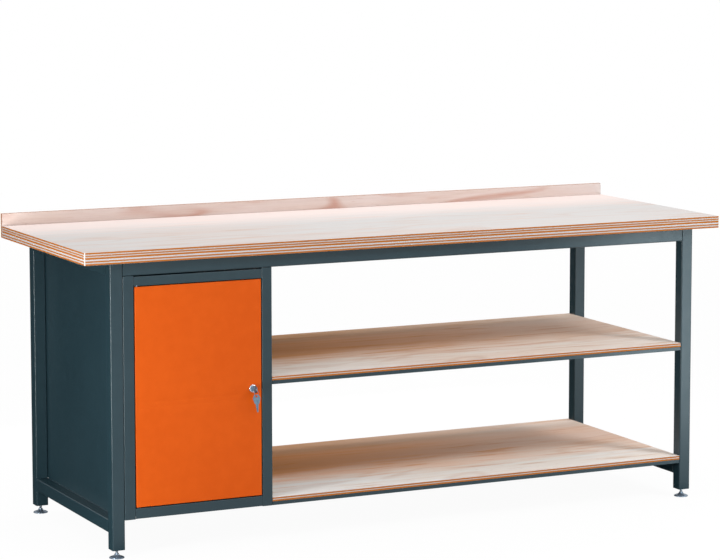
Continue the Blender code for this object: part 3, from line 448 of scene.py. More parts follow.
def plated(name, dark, light, rough, scale=BRUSH_SCALE, stretch=BRUSH_STRETCH, metallic=1.0):
    """A plated metal with a brushed grain and cloudy patches."""
    metal = Finish(name, metallic=metallic)
    mapped = metal.node("ShaderNodeMapping", None, {"Vector": metal.point, "Scale": stretch})
    brush = metal.noise(mapped, scale, 2.0, 0.6)
    cloud = metal.noise(metal.point, *METAL_CLOUD)
    body = metal.mix(metal.smooth_step(brush * 0.5 + cloud * 0.5, *METAL_TONES), dark, light)
    return metal.surface(body, rough + (brush - 0.5) * 0.25 + (cloud - 0.5) * 0.1, brush, 0.00003, 0.2)


def moulded(name, dark, light):
    """Injection-moulded plastic with a spark-eroded grain."""
    plastic = Finish(name, specular=0.3)
    grain, cloud = (plastic.noise(plastic.point, *settings) for settings in PLASTIC_NOISES)
    body = plastic.mix(plastic.smooth_step(cloud, *METAL_TONES), dark, light)
    return plastic.surface(body, 0.55 + (grain - 0.5) * 0.2, grain, 0.00008, 0.3)


def veneer(name, upright, pale, warm, figure, figure_share, streak_share, shade=None):
    """A rotary-cut birch face with its grain along X, on a level board or an upright one."""
    wood = Finish(name, specular=0.02)
    x, y, z = wood.split(wood.point)
    across = z if upright else y

    def grain(kind, level):
        (stretch_along, stretch_across), settings = WOOD_NOISE[kind]
        return wood.noise(wood.vector(x * stretch_along, across * stretch_across, level), *settings)

    def band(kind, value):
        return wood.smooth_step(value, *WOOD_RANGES[kind])

    rings = wood.math("PINGPONG", grain("flow", FIGURE_LEVEL) * YEAR_RINGS, 1.0)
    line = band("line", rings) * band("patch", grain("patch", FIGURE_LEVEL))
    fibre, streak, dash, tone = (grain(kind, z) for kind in ("fibre", "streak", "dash", "tone"))
    body = wood.mix(band("tone", tone * 0.55 + streak * 0.45), pale, warm)
    body = wood.mix(line * figure_share, body, figure)
    body = wood.mix(band("streak", streak) * streak_share, body, figure)
    body = wood.mix(band("dash", dash) * streak_share, body, figure)
    body = wood.mix(band("fibre", fibre) * FIBRE_SHARE, body, figure, "MULTIPLY")
    # The shade function paints light and shade into the colour: painted light on the worktop, painted shade on the
    # shelves
    if shade is not None:
        body = shade(wood, x, y, streak, body)
    return wood.surface(body, 0.62 + (fibre - 0.5) * 0.2, fibre * 0.7 + line * 0.3, 0.00012, 0.30)


def shelf_painted_shade(shade_colour):
    """Painted shade: the boards are painted browner towards the back and the cupboard, where shade falls, and
    greyer along the very back, where light from behind reaches.
    """
    def shade(wood, x, y, streak, body):
        cloud = wood.noise(wood.vector(x * 1.6, y * 5.0, 4.0), 1.9, 2.0)
        swing = (streak - 0.5) * STREAK_SWING + (cloud - 0.5) * SHELF_CLOUD_SWING
        depth = wood.smooth_step(y + swing, *SHELF_SHADE_RANGE)
        reach = wood.smooth_step(x, *SHELF_SHADE_ALONG)
        rim = wood.mix(wood.smooth_step(y, *SHELF_SHADE_RIM_RANGE) * SHELF_SHADE_RIM_SHARE, shade_colour, SHELF_SHADE_RIM)
        return wood.mix(depth * reach * SHELF_SHADE_SHARE, body, rim)
    return shade


def top_painted_light(wood, x, y, streak, body):
    """Painted light: the worktop is painted paler and pinker along its back, standing in for light that falls
    there.
    """
    depth = wood.smooth_step(y + (streak - 0.5) * STREAK_SWING, *TOP_BACK_LIGHT_RANGE)
    return wood.mix(depth * TOP_BACK_LIGHT_SHARE, body, TOP_BACK_PAINTED_LIGHT)


def ply_edges(name, plies, corner=None):
    """The cut edge of plywood: dark end-grain plies and pale long-grain plies, read from the edge's own map.

    A corner is the board's upright corner, given as its (x, y); a painted highlight runs down the arris there.
    """
    wood = Finish(name, specular=0.05)
    along, share, _ = wood.split(wood.node("ShaderNodeUVMap", {"uv_map": "plies"}))

    def texture(kind):
        (stretch_along, stretch_down, level), settings = PLY_NOISE[kind]
        return wood.noise(wood.vector(along * stretch_along, share * stretch_down, level), *settings)

    stops = []
    for start, end, colour in plies:
        stops += [(start, GLUE_LINE)] if start else []
        stops += [(start + PLY_BLEND, colour), (end - PLY_BLEND, colour)]
    wander, cells, long_grain, knots = (texture(kind) for kind in ("wander", "cells", "long_grain", "knots"))
    body = wood.node("ShaderNodeValToRGB", {"stops": stops}, {"Fac": share + (wander - 0.5) * PLY_WANDER})
    body = wood.mix(wood.smooth_step(cells, *GRAIN_RANGE) * 0.30, body, EDGE_DARK)
    body = wood.mix(wood.smooth_step(long_grain, *GRAIN_RANGE) * 0.18, body, EDGE_ORANGE)
    body = wood.mix(wood.smooth_step(knots, *KNOT_RANGE) * 0.6, body, EDGE_DARK)
    # Painted highlight: the upright arris at the corner is painted pale
    if corner is not None:
        x, y, _ = wood.split(wood.point)
        reach = wood.math("ABSOLUTE", x - corner[0]) + wood.math("ABSOLUTE", y - corner[1])
        body = wood.mix(wood.smooth_step(reach, *ARRIS_HIGHLIGHT_REACH, ARRIS_HIGHLIGHT_SHARE, 0.0), body, ARRIS_HIGHLIGHT)
    return wood.surface(body, 0.7 + (cells - 0.5) * 0.2, cells, 0.0002, 0.35)


def object_from(name, mesh, *materials):
    mesh.name = name
    for material in materials:
        mesh.materials.append(material)
    piece = bpy.data.objects.new(name, mesh)
    bpy.context.scene.collection.objects.link(piece)
    return piece


def hand_over(piece, *nodes):
    """The piece takes the body of the nodes that it stands for, and the nodes are hidden."""
    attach(piece, BODY_OF[nodes[0]])
    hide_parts(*nodes)
    return piece


def worked_mesh(piece):
    """A new mesh of the piece as its modifiers or its curve make it."""
    bpy.context.view_layer.update()
    depsgraph = bpy.context.evaluated_depsgraph_get()
    return bpy.data.meshes.new_from_object(piece.evaluated_get(depsgraph), depsgraph=depsgraph)


def finished_mesh(piece):
    """The piece's mesh with its modifiers worked in, and the modifiers gone."""
    mesh = worked_mesh(piece)
    old = piece.data
    piece.modifiers.clear()
    piece.data = mesh
    bpy.data.meshes.remove(old)
    mesh.name = piece.name
    return piece


def mesh_from(bm, name):
    """A new mesh from the working one, which is let go."""
    mesh = bpy.data.meshes.new(name)
    bm.to_mesh(mesh)
    bm.free()
    return mesh


def bridge(bm, first, second):
    """Faces between two closed rings of as many points."""
    for k in range(len(first)):
        j = (k + 1) % len(first)
        bm.faces.new((first[k], first[j], second[j], second[k]))


def soften(piece, width):
    """Rounds the piece's sharp edges and shades its curves smooth and its flats flat."""
    piece.data.shade_smooth()
    if width:
        bevel = piece.modifiers.new("edge", "BEVEL")
        bevel.width = width
        bevel.segments = EDGE_SEGMENTS
        bevel.limit_method = "ANGLE"
        bevel.angle_limit = SMOOTH_ANGLE
        bevel.harden_normals = False
        bevel.use_clamp_overlap = True
    else:
        piece.data.set_sharp_from_angle(angle=SMOOTH_ANGLE)
    normals = piece.modifiers.new("normals", "WEIGHTED_NORMAL")
    normals.keep_sharp = True
    normals.weight = 100
    return finished_mesh(piece)


def dressed(node, material, width=SMALL_EDGE):
    """A piece in a node's own shape, joined up, its edges rounded."""
    bm = bmesh.new()
    bm.from_mesh(NODES[node].data)
    bmesh.ops.remove_doubles(bm, verts=bm.verts, dist=JOIN_DISTANCE)
    bmesh.ops.dissolve_limit(bm, angle_limit=FLAT_ANGLE, verts=bm.verts, edges=bm.edges)
    piece = object_from(f"{node}_piece", mesh_from(bm, node), material)
    return hand_over(soften(piece, width), node)


def corner_ring(length, width, radius, inset):
    """A rounded rectangle about the origin, pulled in by an inset, with points along its sides."""
    reach = max(radius - inset, 0.0)
    arcs = []
    for su, sv, start in ((1, -1, -QUARTER), (1, 1, 0.0), (-1, 1, QUARTER), (-1, -1, 2 * QUARTER)):
        centre = Vector((su * (length / 2 - radius), sv * (width / 2 - radius)))
        angles = [start + k * QUARTER / CORNER_STEPS for k in range(CORNER_STEPS + 1)]
        arcs.append([centre + reach * Vector((math.cos(angle), math.sin(angle))) for angle in angles])
    counts = [max(2, round((side - 2 * radius) / BOARD_STEP)) for side in (width, length)] * 2
    points = []
    for arc, following, count in zip(arcs, arcs[1:] + arcs[:1], counts):
        points += arc + [arc[-1].lerp(following[0], k / count) for k in range(1, count)]
    return points


def quarter_arc(steps):
    """The sine and cosine at equal steps through a quarter turn, both ends counted."""
    return [(math.sin(k * QUARTER / steps), math.cos(k * QUARTER / steps)) for k in range(steps + 1)]


def edge_levels(plies, thickness, arris):
    """Shares and insets down a board's edge: a rounded arris, plies in and out in turn, a rounded arris."""
    rounding = [((1 - cosine) * arris / thickness, (1 - sine) * arris)
                for sine, cosine in quarter_arc(ARRIS_STEPS)]
    levels = list(rounding)
    jump = PLY_JUMP / thickness
    ply_inset = 0.0
    inner_plies = [start for start, end, _ in plies
                   if start * thickness > arris and (1 - end) * thickness > arris]
    for i, share in enumerate(inner_plies):
        next_inset = PLY_RELIEF if i % 2 == 0 else 0.0
        levels += [(share - jump, ply_inset), (share + jump, next_inset)]
        ply_inset = next_inset
    deepest = rounding[-1]
    levels += [(1 - drop, inset + (ply_inset if (drop, inset) == deepest else 0.0))
               for drop, inset in reversed(rounding)]
    return levels


def plywood(name, low, high, axes, plies, arris, radius, face_material, edge_material):
    """A plywood board whose plies stand slightly in and out along its edges.

    The axes name its length, its width and its thickness; shares of the thickness run from the top face down.
    The edge map runs along the edge in metres and down through the plies as a share.
    """
    size = high - low
    length, width, thickness = (size[a] for a in axes)
    turn = Matrix([[1.0 if axes[column] == row else 0.0 for column in range(3)] for row in range(3)]).to_4x4()
    place = Matrix.Translation((low + high) / 2) @ turn
    levels = edge_levels(plies, thickness, arris)
    plain = corner_ring(length, width, radius, 0.0)
    distance = [0.0]
    for a, b in zip(plain, plain[1:] + plain[:1]):
        distance.append(distance[-1] + (b - a).length)
    bm = bmesh.new()
    uv = bm.loops.layers.uv.new("plies")
    rings = []
    for share, inset in levels:
        ring = []
        for point in corner_ring(length, width, radius, inset):
            wave = noise.noise(Vector((point.x, point.y, share * PLY_WAVE_DROP)) * PLY_WAVE_SCALE)
            height = thickness * (0.5 - share) + wave * PLY_WAVE * math.sin(math.pi * share)
            ring.append(bm.verts.new(place @ Vector((point.x, point.y, height))))
        rings.append(ring)
    for (share_a, _), (share_b, _), upper, lower in zip(levels, levels[1:], rings, rings[1:]):
        for k in range(len(plain)):
            following = (k + 1) % len(plain)
            face = bm.faces.new((upper[k], lower[k], lower[following], upper[following]))
            face.material_index = 1
            corners = ((distance[k], share_a), (distance[k], share_b),
                       (distance[k + 1], share_b), (distance[k + 1], share_a))
            for loop, place_on_map in zip(face.loops, corners):
                loop[uv].uv = place_on_map
    bm.faces.new(rings[0])
    bm.faces.new(rings[-1][::-1])
    bmesh.ops.recalc_face_normals(bm, faces=bm.faces)
    return soften(object_from(name, mesh_from(bm, name), face_material, edge_material), 0.0)


def turned(name, profile, centre, axis, material, steps):
    """A closed turned shape: (radius, height) points about an axis; points on the axis close it."""
    z = Vector(axis)
    x = X_AXIS if abs(z.x) < 0.5 else Y_AXIS
    y = z.cross(x)
    angles = [TURN * k / steps for k in range(steps)]
    bm = bmesh.new()
    rings = []
    for radius, height in profile:
        middle = Vector(centre) + z * height
        if radius == 0.0:
            rings.append([bm.verts.new(middle)] * steps)
            continue
        rings.append([bm.verts.new(middle + radius * (x * math.cos(angle) + y * math.sin(angle)))
                      for angle in angles])
    pairs = list(zip(rings, rings[1:]))
    if profile[0][0] > 0.0 and profile[-1][0] > 0.0:
        pairs.append((rings[-1], rings[0]))
    for a, b in pairs:
        for k in range(steps):
            j = (k + 1) % steps
            corners = []
            for vert in (a[k], a[j], b[j], b[k]):
                if vert not in corners:
                    corners.append(vert)
            if len(corners) > 2:
                bm.faces.new(corners)
    bmesh.ops.recalc_face_normals(bm, faces=bm.faces)
    return object_from(name, mesh_from(bm, name), material)


SLATE = powder_coat("slate_powder_coat", srgb(62, 84, 94), srgb(31, 52, 60), srgb(35, 56, 64),
                    0.42, 0.31)
ORANGE = powder_coat("orange_powder_coat", srgb(240, 116, 52), srgb(208, 83, 13), srgb(214, 88, 17),
                     0.15, 0.38)
ZINC = plated("zinc_plate", (0.14, 0.19, 0.25, 1.0), (0.27, 0.33, 0.41, 1.0), 0.40, metallic=0.70)
STEM_ZINC = plated("bright_zinc_thread", (0.46, 0.52, 0.59, 1.0), (0.68, 0.74, 0.80, 1.0), 0.36,
                   metallic=0.75)
CHROME = plated("satin_chrome", (0.62, 0.66, 0.72, 1.0), (0.80, 0.84, 0.90, 1.0), 0.20,
                1400.0, (1.0, 1.0, 1.0))
KEY_METAL = plated("dull_nickel", srgb(96, 118, 136), srgb(122, 146, 164), 0.42)
NYLON = moulded("moulded_nylon", (0.022, 0.023, 0.024, 1.0), (0.040, 0.041, 0.042, 1.0))
TOP_FACE = veneer("birch_face", False, srgb(208, 206, 205), srgb(211, 200, 195), srgb(197, 164, 145),
                  0.20, 0.30, top_painted_light)
UPSTAND_FACE = veneer("birch_upstand", True, srgb(222, 208, 203), srgb(217, 198, 189), srgb(190, 138, 120),
                      0.75, 0.30)
# The two shelf faces are copies of one birch face: the lower one is painted paler, and its painted shade lighter,
# standing in for more light on the lower board
UPPER_SHELF_FACE = veneer("birch_upper_shelf", False, srgb(245, 237, 230), srgb(240, 223, 210),
                          srgb(198, 148, 110), 0.25, 0.55, shelf_painted_shade(srgb(214, 138, 58)))
LOWER_SHELF_FACE_PAINTED_LIGHTER = veneer("birch_lower_shelf", False, srgb(250, 245, 241), srgb(247, 233, 222),
                          srgb(204, 150, 110), 0.25, 0.55, shelf_painted_shade(srgb(250, 152, 56)))
TOP_EDGE = ply_edges("birch_plies", TOP_PLIES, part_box("worktop")[0].xy)
SHELF_EDGE = ply_edges("birch_shelf_plies", SHELF_PLIES)


def make_boards():
    level = (0, 1, 2)
    upright = (0, 2, 1)
    top = (TOP_PLIES, TOP_ARRIS, TOP_CORNER, TOP_FACE, TOP_EDGE)
    thin = (SHELF_PLIES, THIN_ARRIS, THIN_CORNER)
    for node, name, axes, settings in (
            ("worktop", "worktop_board", level, top),
            ("upstand", "upstand_board", upright, (*thin, UPSTAND_FACE, SHELF_EDGE)),
            ("upper_shelf_board", "upper_shelf_plywood", level, (*thin, UPPER_SHELF_FACE, SHELF_EDGE)),
            ("lower_shelf_board", "lower_shelf_plywood", level, (*thin, LOWER_SHELF_FACE_PAINTED_LIGHTER, SHELF_EDGE))):
        low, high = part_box(node)
        hand_over(plywood(name, low, high, axes, *settings), node)


def door_border(grid, x0, x1, z0, z1):
    """The points around the door's flat face, each with its place and the way it faces outward."""
    border = list(grid[0])
    border += [row[-1] for row in grid[1:]]
    border += grid[-1][-2::-1]
    border += [row[0] for row in grid[-2:0:-1]]
    sides = []
    for vert in border:
        x, _, z = vert.co
        out_x = -1 if abs(x - x0) < TOUCH else 1 if abs(x - x1) < TOUCH else 0
        out_z = -1 if abs(z - z0) < TOUCH else 1 if abs(z - z1) < TOUCH else 0
        sides.append((x, z, out_x, out_z))
    return border, sides


def door_mesh(low, high, end):
    """The door's folded pan: a face with two swages up to an end, bent edges, lips, and an inner skin."""
    x0, x1 = low.x + DOOR_BEND, high.x - DOOR_BEND
    z0, z1 = low.z + DOOR_BEND, high.z - DOOR_BEND
    xs = [x0, x0 + SWAGE_MARGIN, x0 + SWAGE_FADE]
    xs += [x0 + (end - x0) * k / SWAGE_COLUMNS for k in range(1, SWAGE_COLUMNS + 1)]
    xs += [end + SWAGE_FADE, x1]
    zs = [z0] + [height + SWAGE_HALF * row for height in SWAGE_HEIGHTS for row in SWAGE_ROWS] + [z1]
    bm = bmesh.new()
    grid = []
    for z in zs:
        nearest = min(abs(z - height) for height in SWAGE_HEIGHTS)
        groove = SWAGE_DEPTH * max(0.0, 1 - nearest / SWAGE_HALF)
        grid.append([bm.verts.new((x, low.y + (groove if x0 + SWAGE_MARGIN < x <= end + SLACK else 0.0), z))
                     for x in xs])
    for a, b in zip(grid, grid[1:]):
        for k in range(len(xs) - 1):
            bm.faces.new((a[k], a[k + 1], b[k + 1], b[k]))
    border, sides = door_border(grid, x0, x1, z0, z1)
    depth = high.y - low.y
    arc = quarter_arc(BEND_STEPS)
    path = [(DOOR_BEND * sine, DOOR_BEND * (1 - cosine)) for sine, cosine in arc[1:]]
    path += [(DOOR_BEND * cosine, depth - DOOR_BEND + DOOR_BEND * sine) for sine, cosine in arc]
    path += [(DOOR_BEND - DOOR_LIP, depth), (DOOR_BEND - DOOR_LIP, depth - DOOR_SHEET),
             (DOOR_BEND - DOOR_SHEET, depth - DOOR_SHEET)]
    previous = border
    for out, back in path:
        ring = [bm.verts.new((x + ox * out, low.y + back, z + oz * out)) for x, z, ox, oz in sides]
        bridge(bm, previous, ring)
        previous = ring
    behind = {vert: bm.verts.new(vert.co + DOOR_SHEET * Y_AXIS) for row in grid for vert in row}
    for a, b in zip(grid, grid[1:]):
        for k in range(len(xs) - 1):
            bm.faces.new([behind[vert] for vert in (a[k], b[k], b[k + 1], a[k + 1])])
    bridge(bm, previous, [behind[vert] for vert in border])
    bmesh.ops.recalc_face_normals(bm, faces=bm.faces)
    return mesh_from(bm, "door_sheet")


def cut_out(piece, name, tool):
    """Takes the tool's shape out of the piece, and the tool away."""
    cut = piece.modifiers.new(name, "BOOLEAN")
    cut.operation = "DIFFERENCE"
    cut.object = tool
    finished_mesh(piece)
    bpy.data.objects.remove(tool, do_unlink=True)


def make_door():
    """The door's pan with its lock hole; its stiffener's faint welds show on the face as two swages."""
    low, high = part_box("door_panel")
    lock_low, lock_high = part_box("lock_housing")
    lock = (lock_low + lock_high) / 2
    door = object_from("door_pan", door_mesh(low, high, lock.x - SWAGE_END_INSET), ORANGE)
    profile = [(0.0, -LOCK_HOLE_REACH), (LOCK_HOLE_RADIUS, -LOCK_HOLE_REACH),
               (LOCK_HOLE_RADIUS, LOCK_HOLE_REACH), (0.0, LOCK_HOLE_REACH)]
    bore = turned("door_bore", profile, (lock.x, low.y, lock.z), Y_AXIS, ORANGE, LOCK_HOLE_STEPS)
    cut_out(door, "bore", bore)
    return hand_over(soften(door, 0.0), "door_panel")


def make_sheet_metal():
    for node in ("cupboard_left_side", "cupboard_right_side", "cupboard_roof", "cupboard_floor",
                 "cupboard_back", "inner_shelf", "upper_shelf_tray", "lower_shelf_tray", "door_stiffener"):
        dressed(node, SLATE, SHEET_EDGE)


def make_frame():
    legs = [f"leg_{corner}" for corner in CORNERS]
    for node in (*legs, "top_rail_front", "top_rail_rear", "top_rail_left", "top_rail_right",
                 "low_rail_left", "low_rail_right"):
        dressed(node, SLATE, TUBE_EDGE)


def thread_recipe():
    """A threaded rod that stands on the origin: one helical ridge, chamfered and closed at its ends."""
    recipe = Recipe("thread", THREAD_SIZES)
    sockets = {"Size X": 1.0, "Size Y": 1.0, "Vertices X": recipe.size("Sides") + 1,
               "Vertices Y": recipe.size("Rows")}
    grid = recipe.node("GeometryNodeMeshGrid", None, sockets)
    round_share, long_share, _ = recipe.split(recipe.node("GeometryNodeInputPosition"))
    angle = round_share * TURN
    height = (long_share + 0.5) * recipe.size("Length")
    phase = recipe.math("FRACT", height / recipe.size("Pitch") - round_share)
    groove = recipe.math("ABSOLUTE", phase * 2.0 - 1.0)
    end_distance = recipe.math("MINIMUM", height, recipe.size("Length") - height)
    rod = recipe.size("Radius") - recipe.size("Depth") * groove
    rod = recipe.math("MINIMUM", rod, recipe.size("Radius") - recipe.size("Depth") + end_distance)
    rod = rod * recipe.math("GREATER_THAN", end_distance, END_CLOSE)
    place = recipe.vector(recipe.math("COSINE", angle) * rod, recipe.math("SINE", angle) * rod, height)
    shape = recipe.node("GeometryNodeSetPosition", None, {"Geometry": grid, "Position": place})
    shape = recipe.node("GeometryNodeMergeByDistance", None, {"Geometry": shape, "Distance": END_CLOSE})
    recipe.end(shape)
    return recipe


def weld_recipe():
    """A weld bead along each line: overlapping ripples of slightly varying size."""
    recipe = Recipe("weld_bead", WELD_SIZES)
    line = recipe.node("GeometryNodeMeshToCurve", None, {"Mesh": recipe.size("Geometry")})
    sockets = {"Curve": line, "Length": recipe.size("Spacing")}
    points = recipe.node("GeometryNodeResampleCurve", {"mode": "LENGTH"}, sockets)
    ripple = recipe.node("GeometryNodeMeshUVSphere", None, WELD_RIPPLE)
    low = recipe.size("Radius") * (1 - recipe.size("Spread"))
    high = recipe.size("Radius") * (1 + recipe.size("Spread"))
    random_size = recipe.node("FunctionNodeRandomValue", {"data_type": "FLOAT"},
                              {2: low, 3: high, "Seed": recipe.size("Seed")}, 1)
    sockets = {"Points": points, "Instance": ripple, "Scale": random_size}
    recipe.end(recipe.node("GeometryNodeInstanceOnPoints", None, sockets))
    return recipe


def line_mesh(name, lines):
    """A mesh of loose edges."""
    bm = bmesh.new()
    for start, end in lines:
        bm.edges.new((bm.verts.new(start), bm.verts.new(end)))
    return mesh_from(bm, name)


def rail_end_lines(rail, axis, high_end, inner_side):
    """The lines along which one end of a rail is welded: under it, and up its inner side if that is named."""
    low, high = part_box(rail)
    other = 1 - axis
    start = low.copy()
    start[axis] = high[axis] if high_end else low[axis]
    end = start.copy()
    start[other] = low[other] + WELD_INSET
    end[other] = high[other] - WELD_INSET
    lines = [(start, end)]
    if inner_side is not None:
        foot = start.copy()
        foot[other] = high[other] if inner_side > 0 else low[other]
        head = foot.copy()
        foot.z = low.z + WELD_INSET
        head.z = high.z - WELD_INSET
        lines.append((foot, head))
    return lines


def make_welds():
    """Beads at the rails' ends, and a seam between the low left rail and the cupboard's side."""
    lines = [line for rail_end in RAIL_WELDS for line in rail_end_lines(*rail_end)]
    low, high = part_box("low_rail_left")
    seam = Vector((high.x - SEAM_INSET, 0.0, high.z - SEAM_INSET))
    lines.append((seam + Y_AXIS * (low.y + WELD_INSET), seam + Y_AXIS * (high.y - WELD_INSET)))
    beads = weld_recipe().make("frame_welds", line_mesh("frame_weld_lines", lines), SLATE, WELD_SIZES)
    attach(beads, "bench")


def make_small_parts():
    rests = [f"shelf_rest_{corner}" for corner in CORNERS]
    screws = [f"worktop_screw_{number}" for number in range(1, 7)]
    for node in (*rests, "hinge_pin_upper", "hinge_pin_lower", "hinge_bracket_upper", "hinge_bracket_lower",
                 "lock_nut", "lock_cam", "cam_nut", *screws):
        dressed(node, ZINC)
    dressed("lock_plug", CHROME, PLUG_EDGE)
    dressed("hinge_bush", NYLON)


def make_lock_housing():
    """The lock's domed collar and its barrel, as one turned shape about the lock's axis."""
    low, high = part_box("lock_housing")
    centre = (low + high) / 2
    radius = (high.x - low.x) / 2
    proud = DOOR_FRONT - low.y
    barrel = high.y - DOOR_FRONT
    dome = proud * DOME_SHARE
    profile = [(LOCK_BORE, proud - LOCK_CHAMFER), (LOCK_BORE + LOCK_CHAMFER, proud)]
    profile += [(radius - DOME_WIDTH * (1 - sine), proud - dome * (1 - cosine))
                for sine, cosine in quarter_arc(DOME_STEPS)]
    profile += [(radius, 2 * COLLAR_EDGE), (radius - COLLAR_EDGE, COLLAR_EDGE), (BARREL_RADIUS, COLLAR_EDGE)]
    for k in range(int(barrel / BARREL_PITCH)):
        top = -BARREL_START - k * BARREL_PITCH
        if top - BARREL_PITCH > -barrel + BARREL_PLAIN:
            profile += [(BARREL_RADIUS, top), (BARREL_RADIUS - BARREL_GROOVE, top - BARREL_PITCH / 2)]
    profile += [(BARREL_RADIUS, -barrel + BARREL_PLAIN), (BARREL_RADIUS - LOCK_CHAMFER, -barrel),
                (LOCK_BORE, -barrel)]
    collar = turned("lock_collar", profile, (centre.x, DOOR_FRONT, centre.z), -Y_AXIS, CHROME, LOCK_STEPS)
    return hand_over(soften(collar, 0.0), "lock_housing")


def key_outline():
    """The key from its tip at the origin along +X: cut blade, shoulders and a six-sided bow."""
    cuts = []
    for k, depth in enumerate(KEY_CUTS):
        start = KEY_CUT_START + k * KEY_CUT_PITCH
        for step, share in KEY_CUT_SHAPE:
            u = start + step * KEY_CUT_PITCH
            half = BLADE_HALF + BLADE_SPREAD * u / KEY_BLADE
            cuts.append((u, half - depth * share))
    side = KEY_TIP + cuts + KEY_SHOULDER + KEY_BOW
    return side + [(u, -v) for u, v in reversed(side)]


def key_mesh(name):
    """A key blank with its cuts, a milled groove on each side, softened edges and a ring hole."""
    curve = bpy.data.curves.new(name, "CURVE")
    curve.dimensions = "2D"
    curve.fill_mode = "BOTH"
    curve.extrude = KEY_THICK / 2 - KEY_SOFT
    curve.bevel_depth = KEY_SOFT
    curve.bevel_resolution = 1
    curve.offset = -KEY_SOFT
    angles = [TURN * k / KEY_HOLE_STEPS for k in range(KEY_HOLE_STEPS)]
    hole = [(KEY_LONG - KEY_HOLE_PLACE + KEY_HOLE * math.cos(angle), KEY_HOLE * math.sin(angle))
            for angle in angles]
    for points in (key_outline(), hole):
        spline = curve.splines.new("POLY")
        spline.points.add(len(points) - 1)
        for point, (u, v) in zip(spline.points, points):
            point.co = (u, v, 0.0, 1.0)
        spline.use_cyclic_u = True
    guide = bpy.data.objects.new(name, curve)
    bpy.context.scene.collection.objects.link(guide)
    mesh = worked_mesh(guide)
    bpy.data.objects.remove(guide, do_unlink=True)
    bm = bmesh.new()
    bm.from_mesh(mesh)
    bmesh.ops.remove_doubles(bm, verts=bm.verts, dist=JOIN_DISTANCE)
    bmesh.ops.recalc_face_normals(bm, faces=bm.faces)
    bm.to_mesh(mesh)
    bm.free()
    blank = object_from(name, mesh)
    size = (GROOVE_END - GROOVE_START, GROOVE_WIDTH, 2 * GROOVE_DEPTH, 1.0)
    for side in (1, -1):
        centre = ((GROOVE_START + GROOVE_END) / 2, 0.0, side * KEY_THICK / 2)
        bm = bmesh.new()
        bmesh.ops.create_cube(bm, size=1.0, matrix=Matrix.Translation(centre) @ Matrix.Diagonal(size))
        cut_out(blank, "groove", object_from(f"groove_{side}", mesh_from(bm, "groove")))
    mesh = blank.data
    bpy.data.objects.remove(blank, do_unlink=True)
    return mesh


def wire_ring(centre, radius, tangent):
    """A closed round wire in the upright plane that holds the tangent."""
    side = tangent.cross(Z_AXIS)
    around = [TURN * m / WIRE_STEPS for m in range(WIRE_STEPS)]
    bm = bmesh.new()
    rings = []
    for k in range(RING_STEPS):
        angle = TURN * k / RING_STEPS
        out = tangent * math.cos(angle) + Z_AXIS * math.sin(angle)
        middle = centre + out * radius
        rings.append([bm.verts.new(middle + RING_WIRE * (out * math.cos(turn) + side * math.sin(turn)))
                      for turn in around])
    for first, second in zip(rings, rings[1:] + rings[:1]):
        bridge(bm, first, second)
    bmesh.ops.recalc_face_normals(bm, faces=bm.faces)
    return mesh_from(bm, "ring_wire")


def placed(mesh, matrix, name, material, *nodes):
    mesh.transform(matrix)
    mesh.materials.clear()
    return hand_over(soften(object_from(name, mesh, material), 0.0), *nodes)


def axes_matrix(x, y, z, place):
    """The matrix that turns the world's axes into these, at a place."""
    return Matrix.Translation(place) @ Matrix((x, y, z)).transposed().to_4x4()


def make_keys():
    """The key in the plug, the ring through its bow, and the spare key on the ring."""
    swing = next(joint for joint in frame["joints"] if joint["name"] == "spare_key_swing")
    hook = Vector(swing["pos_m"])
    tangent = -Vector(swing["axis"]).normalized()
    low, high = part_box("key")
    centre = (low + high) / 2
    place = axes_matrix(-Y_AXIS, -Z_AXIS, X_AXIS, (centre.x, high.y, centre.z))
    placed(key_mesh("key_blank"), place, "lock_key", KEY_METAL, "key")
    low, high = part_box("key_ring")
    ring = wire_ring((low + high) / 2, (high.z - low.z) / 2 - RING_WIRE, tangent)
    placed(ring, Matrix.Identity(4), "split_ring", KEY_METAL, "key_ring")
    turn = math.radians(SPARE_TURN_DEG)
    side = Vector((math.cos(turn), math.sin(turn), 0.0))
    lean = math.radians(SPARE_LEAN_DEG)
    down = tangent * math.sin(lean) - Z_AXIS * math.cos(lean)
    face = down.cross(side)
    hang = Matrix.Translation((KEY_HOLE_PLACE - KEY_LONG - SPARE_HANG, 0.0, 0.0))
    place = axes_matrix(-down, face.cross(-down), face, hook) @ hang
    placed(key_mesh("spare_blank"), place, "hanging_key", KEY_METAL, "spare_key")


def smooth_profile(points, steps):
    """A soft curve through the points of a profile."""
    points = [Vector(point) for point in points]
    padded = points[:1] + points + points[-1:]
    curve = []
    for before, start, end, after in zip(padded, padded[1:], padded[2:], padded[3:]):
        square = 2 * before - 5 * start + 4 * end - after
        cube = 3 * start - before - 3 * end + after
        for step in range(steps):
            t = step / steps
            curve.append(tuple(0.5 * (2 * start + (end - before) * t + square * t ** 2 + cube * t ** 3)))
    curve.append(tuple(points[-1]))
    return curve


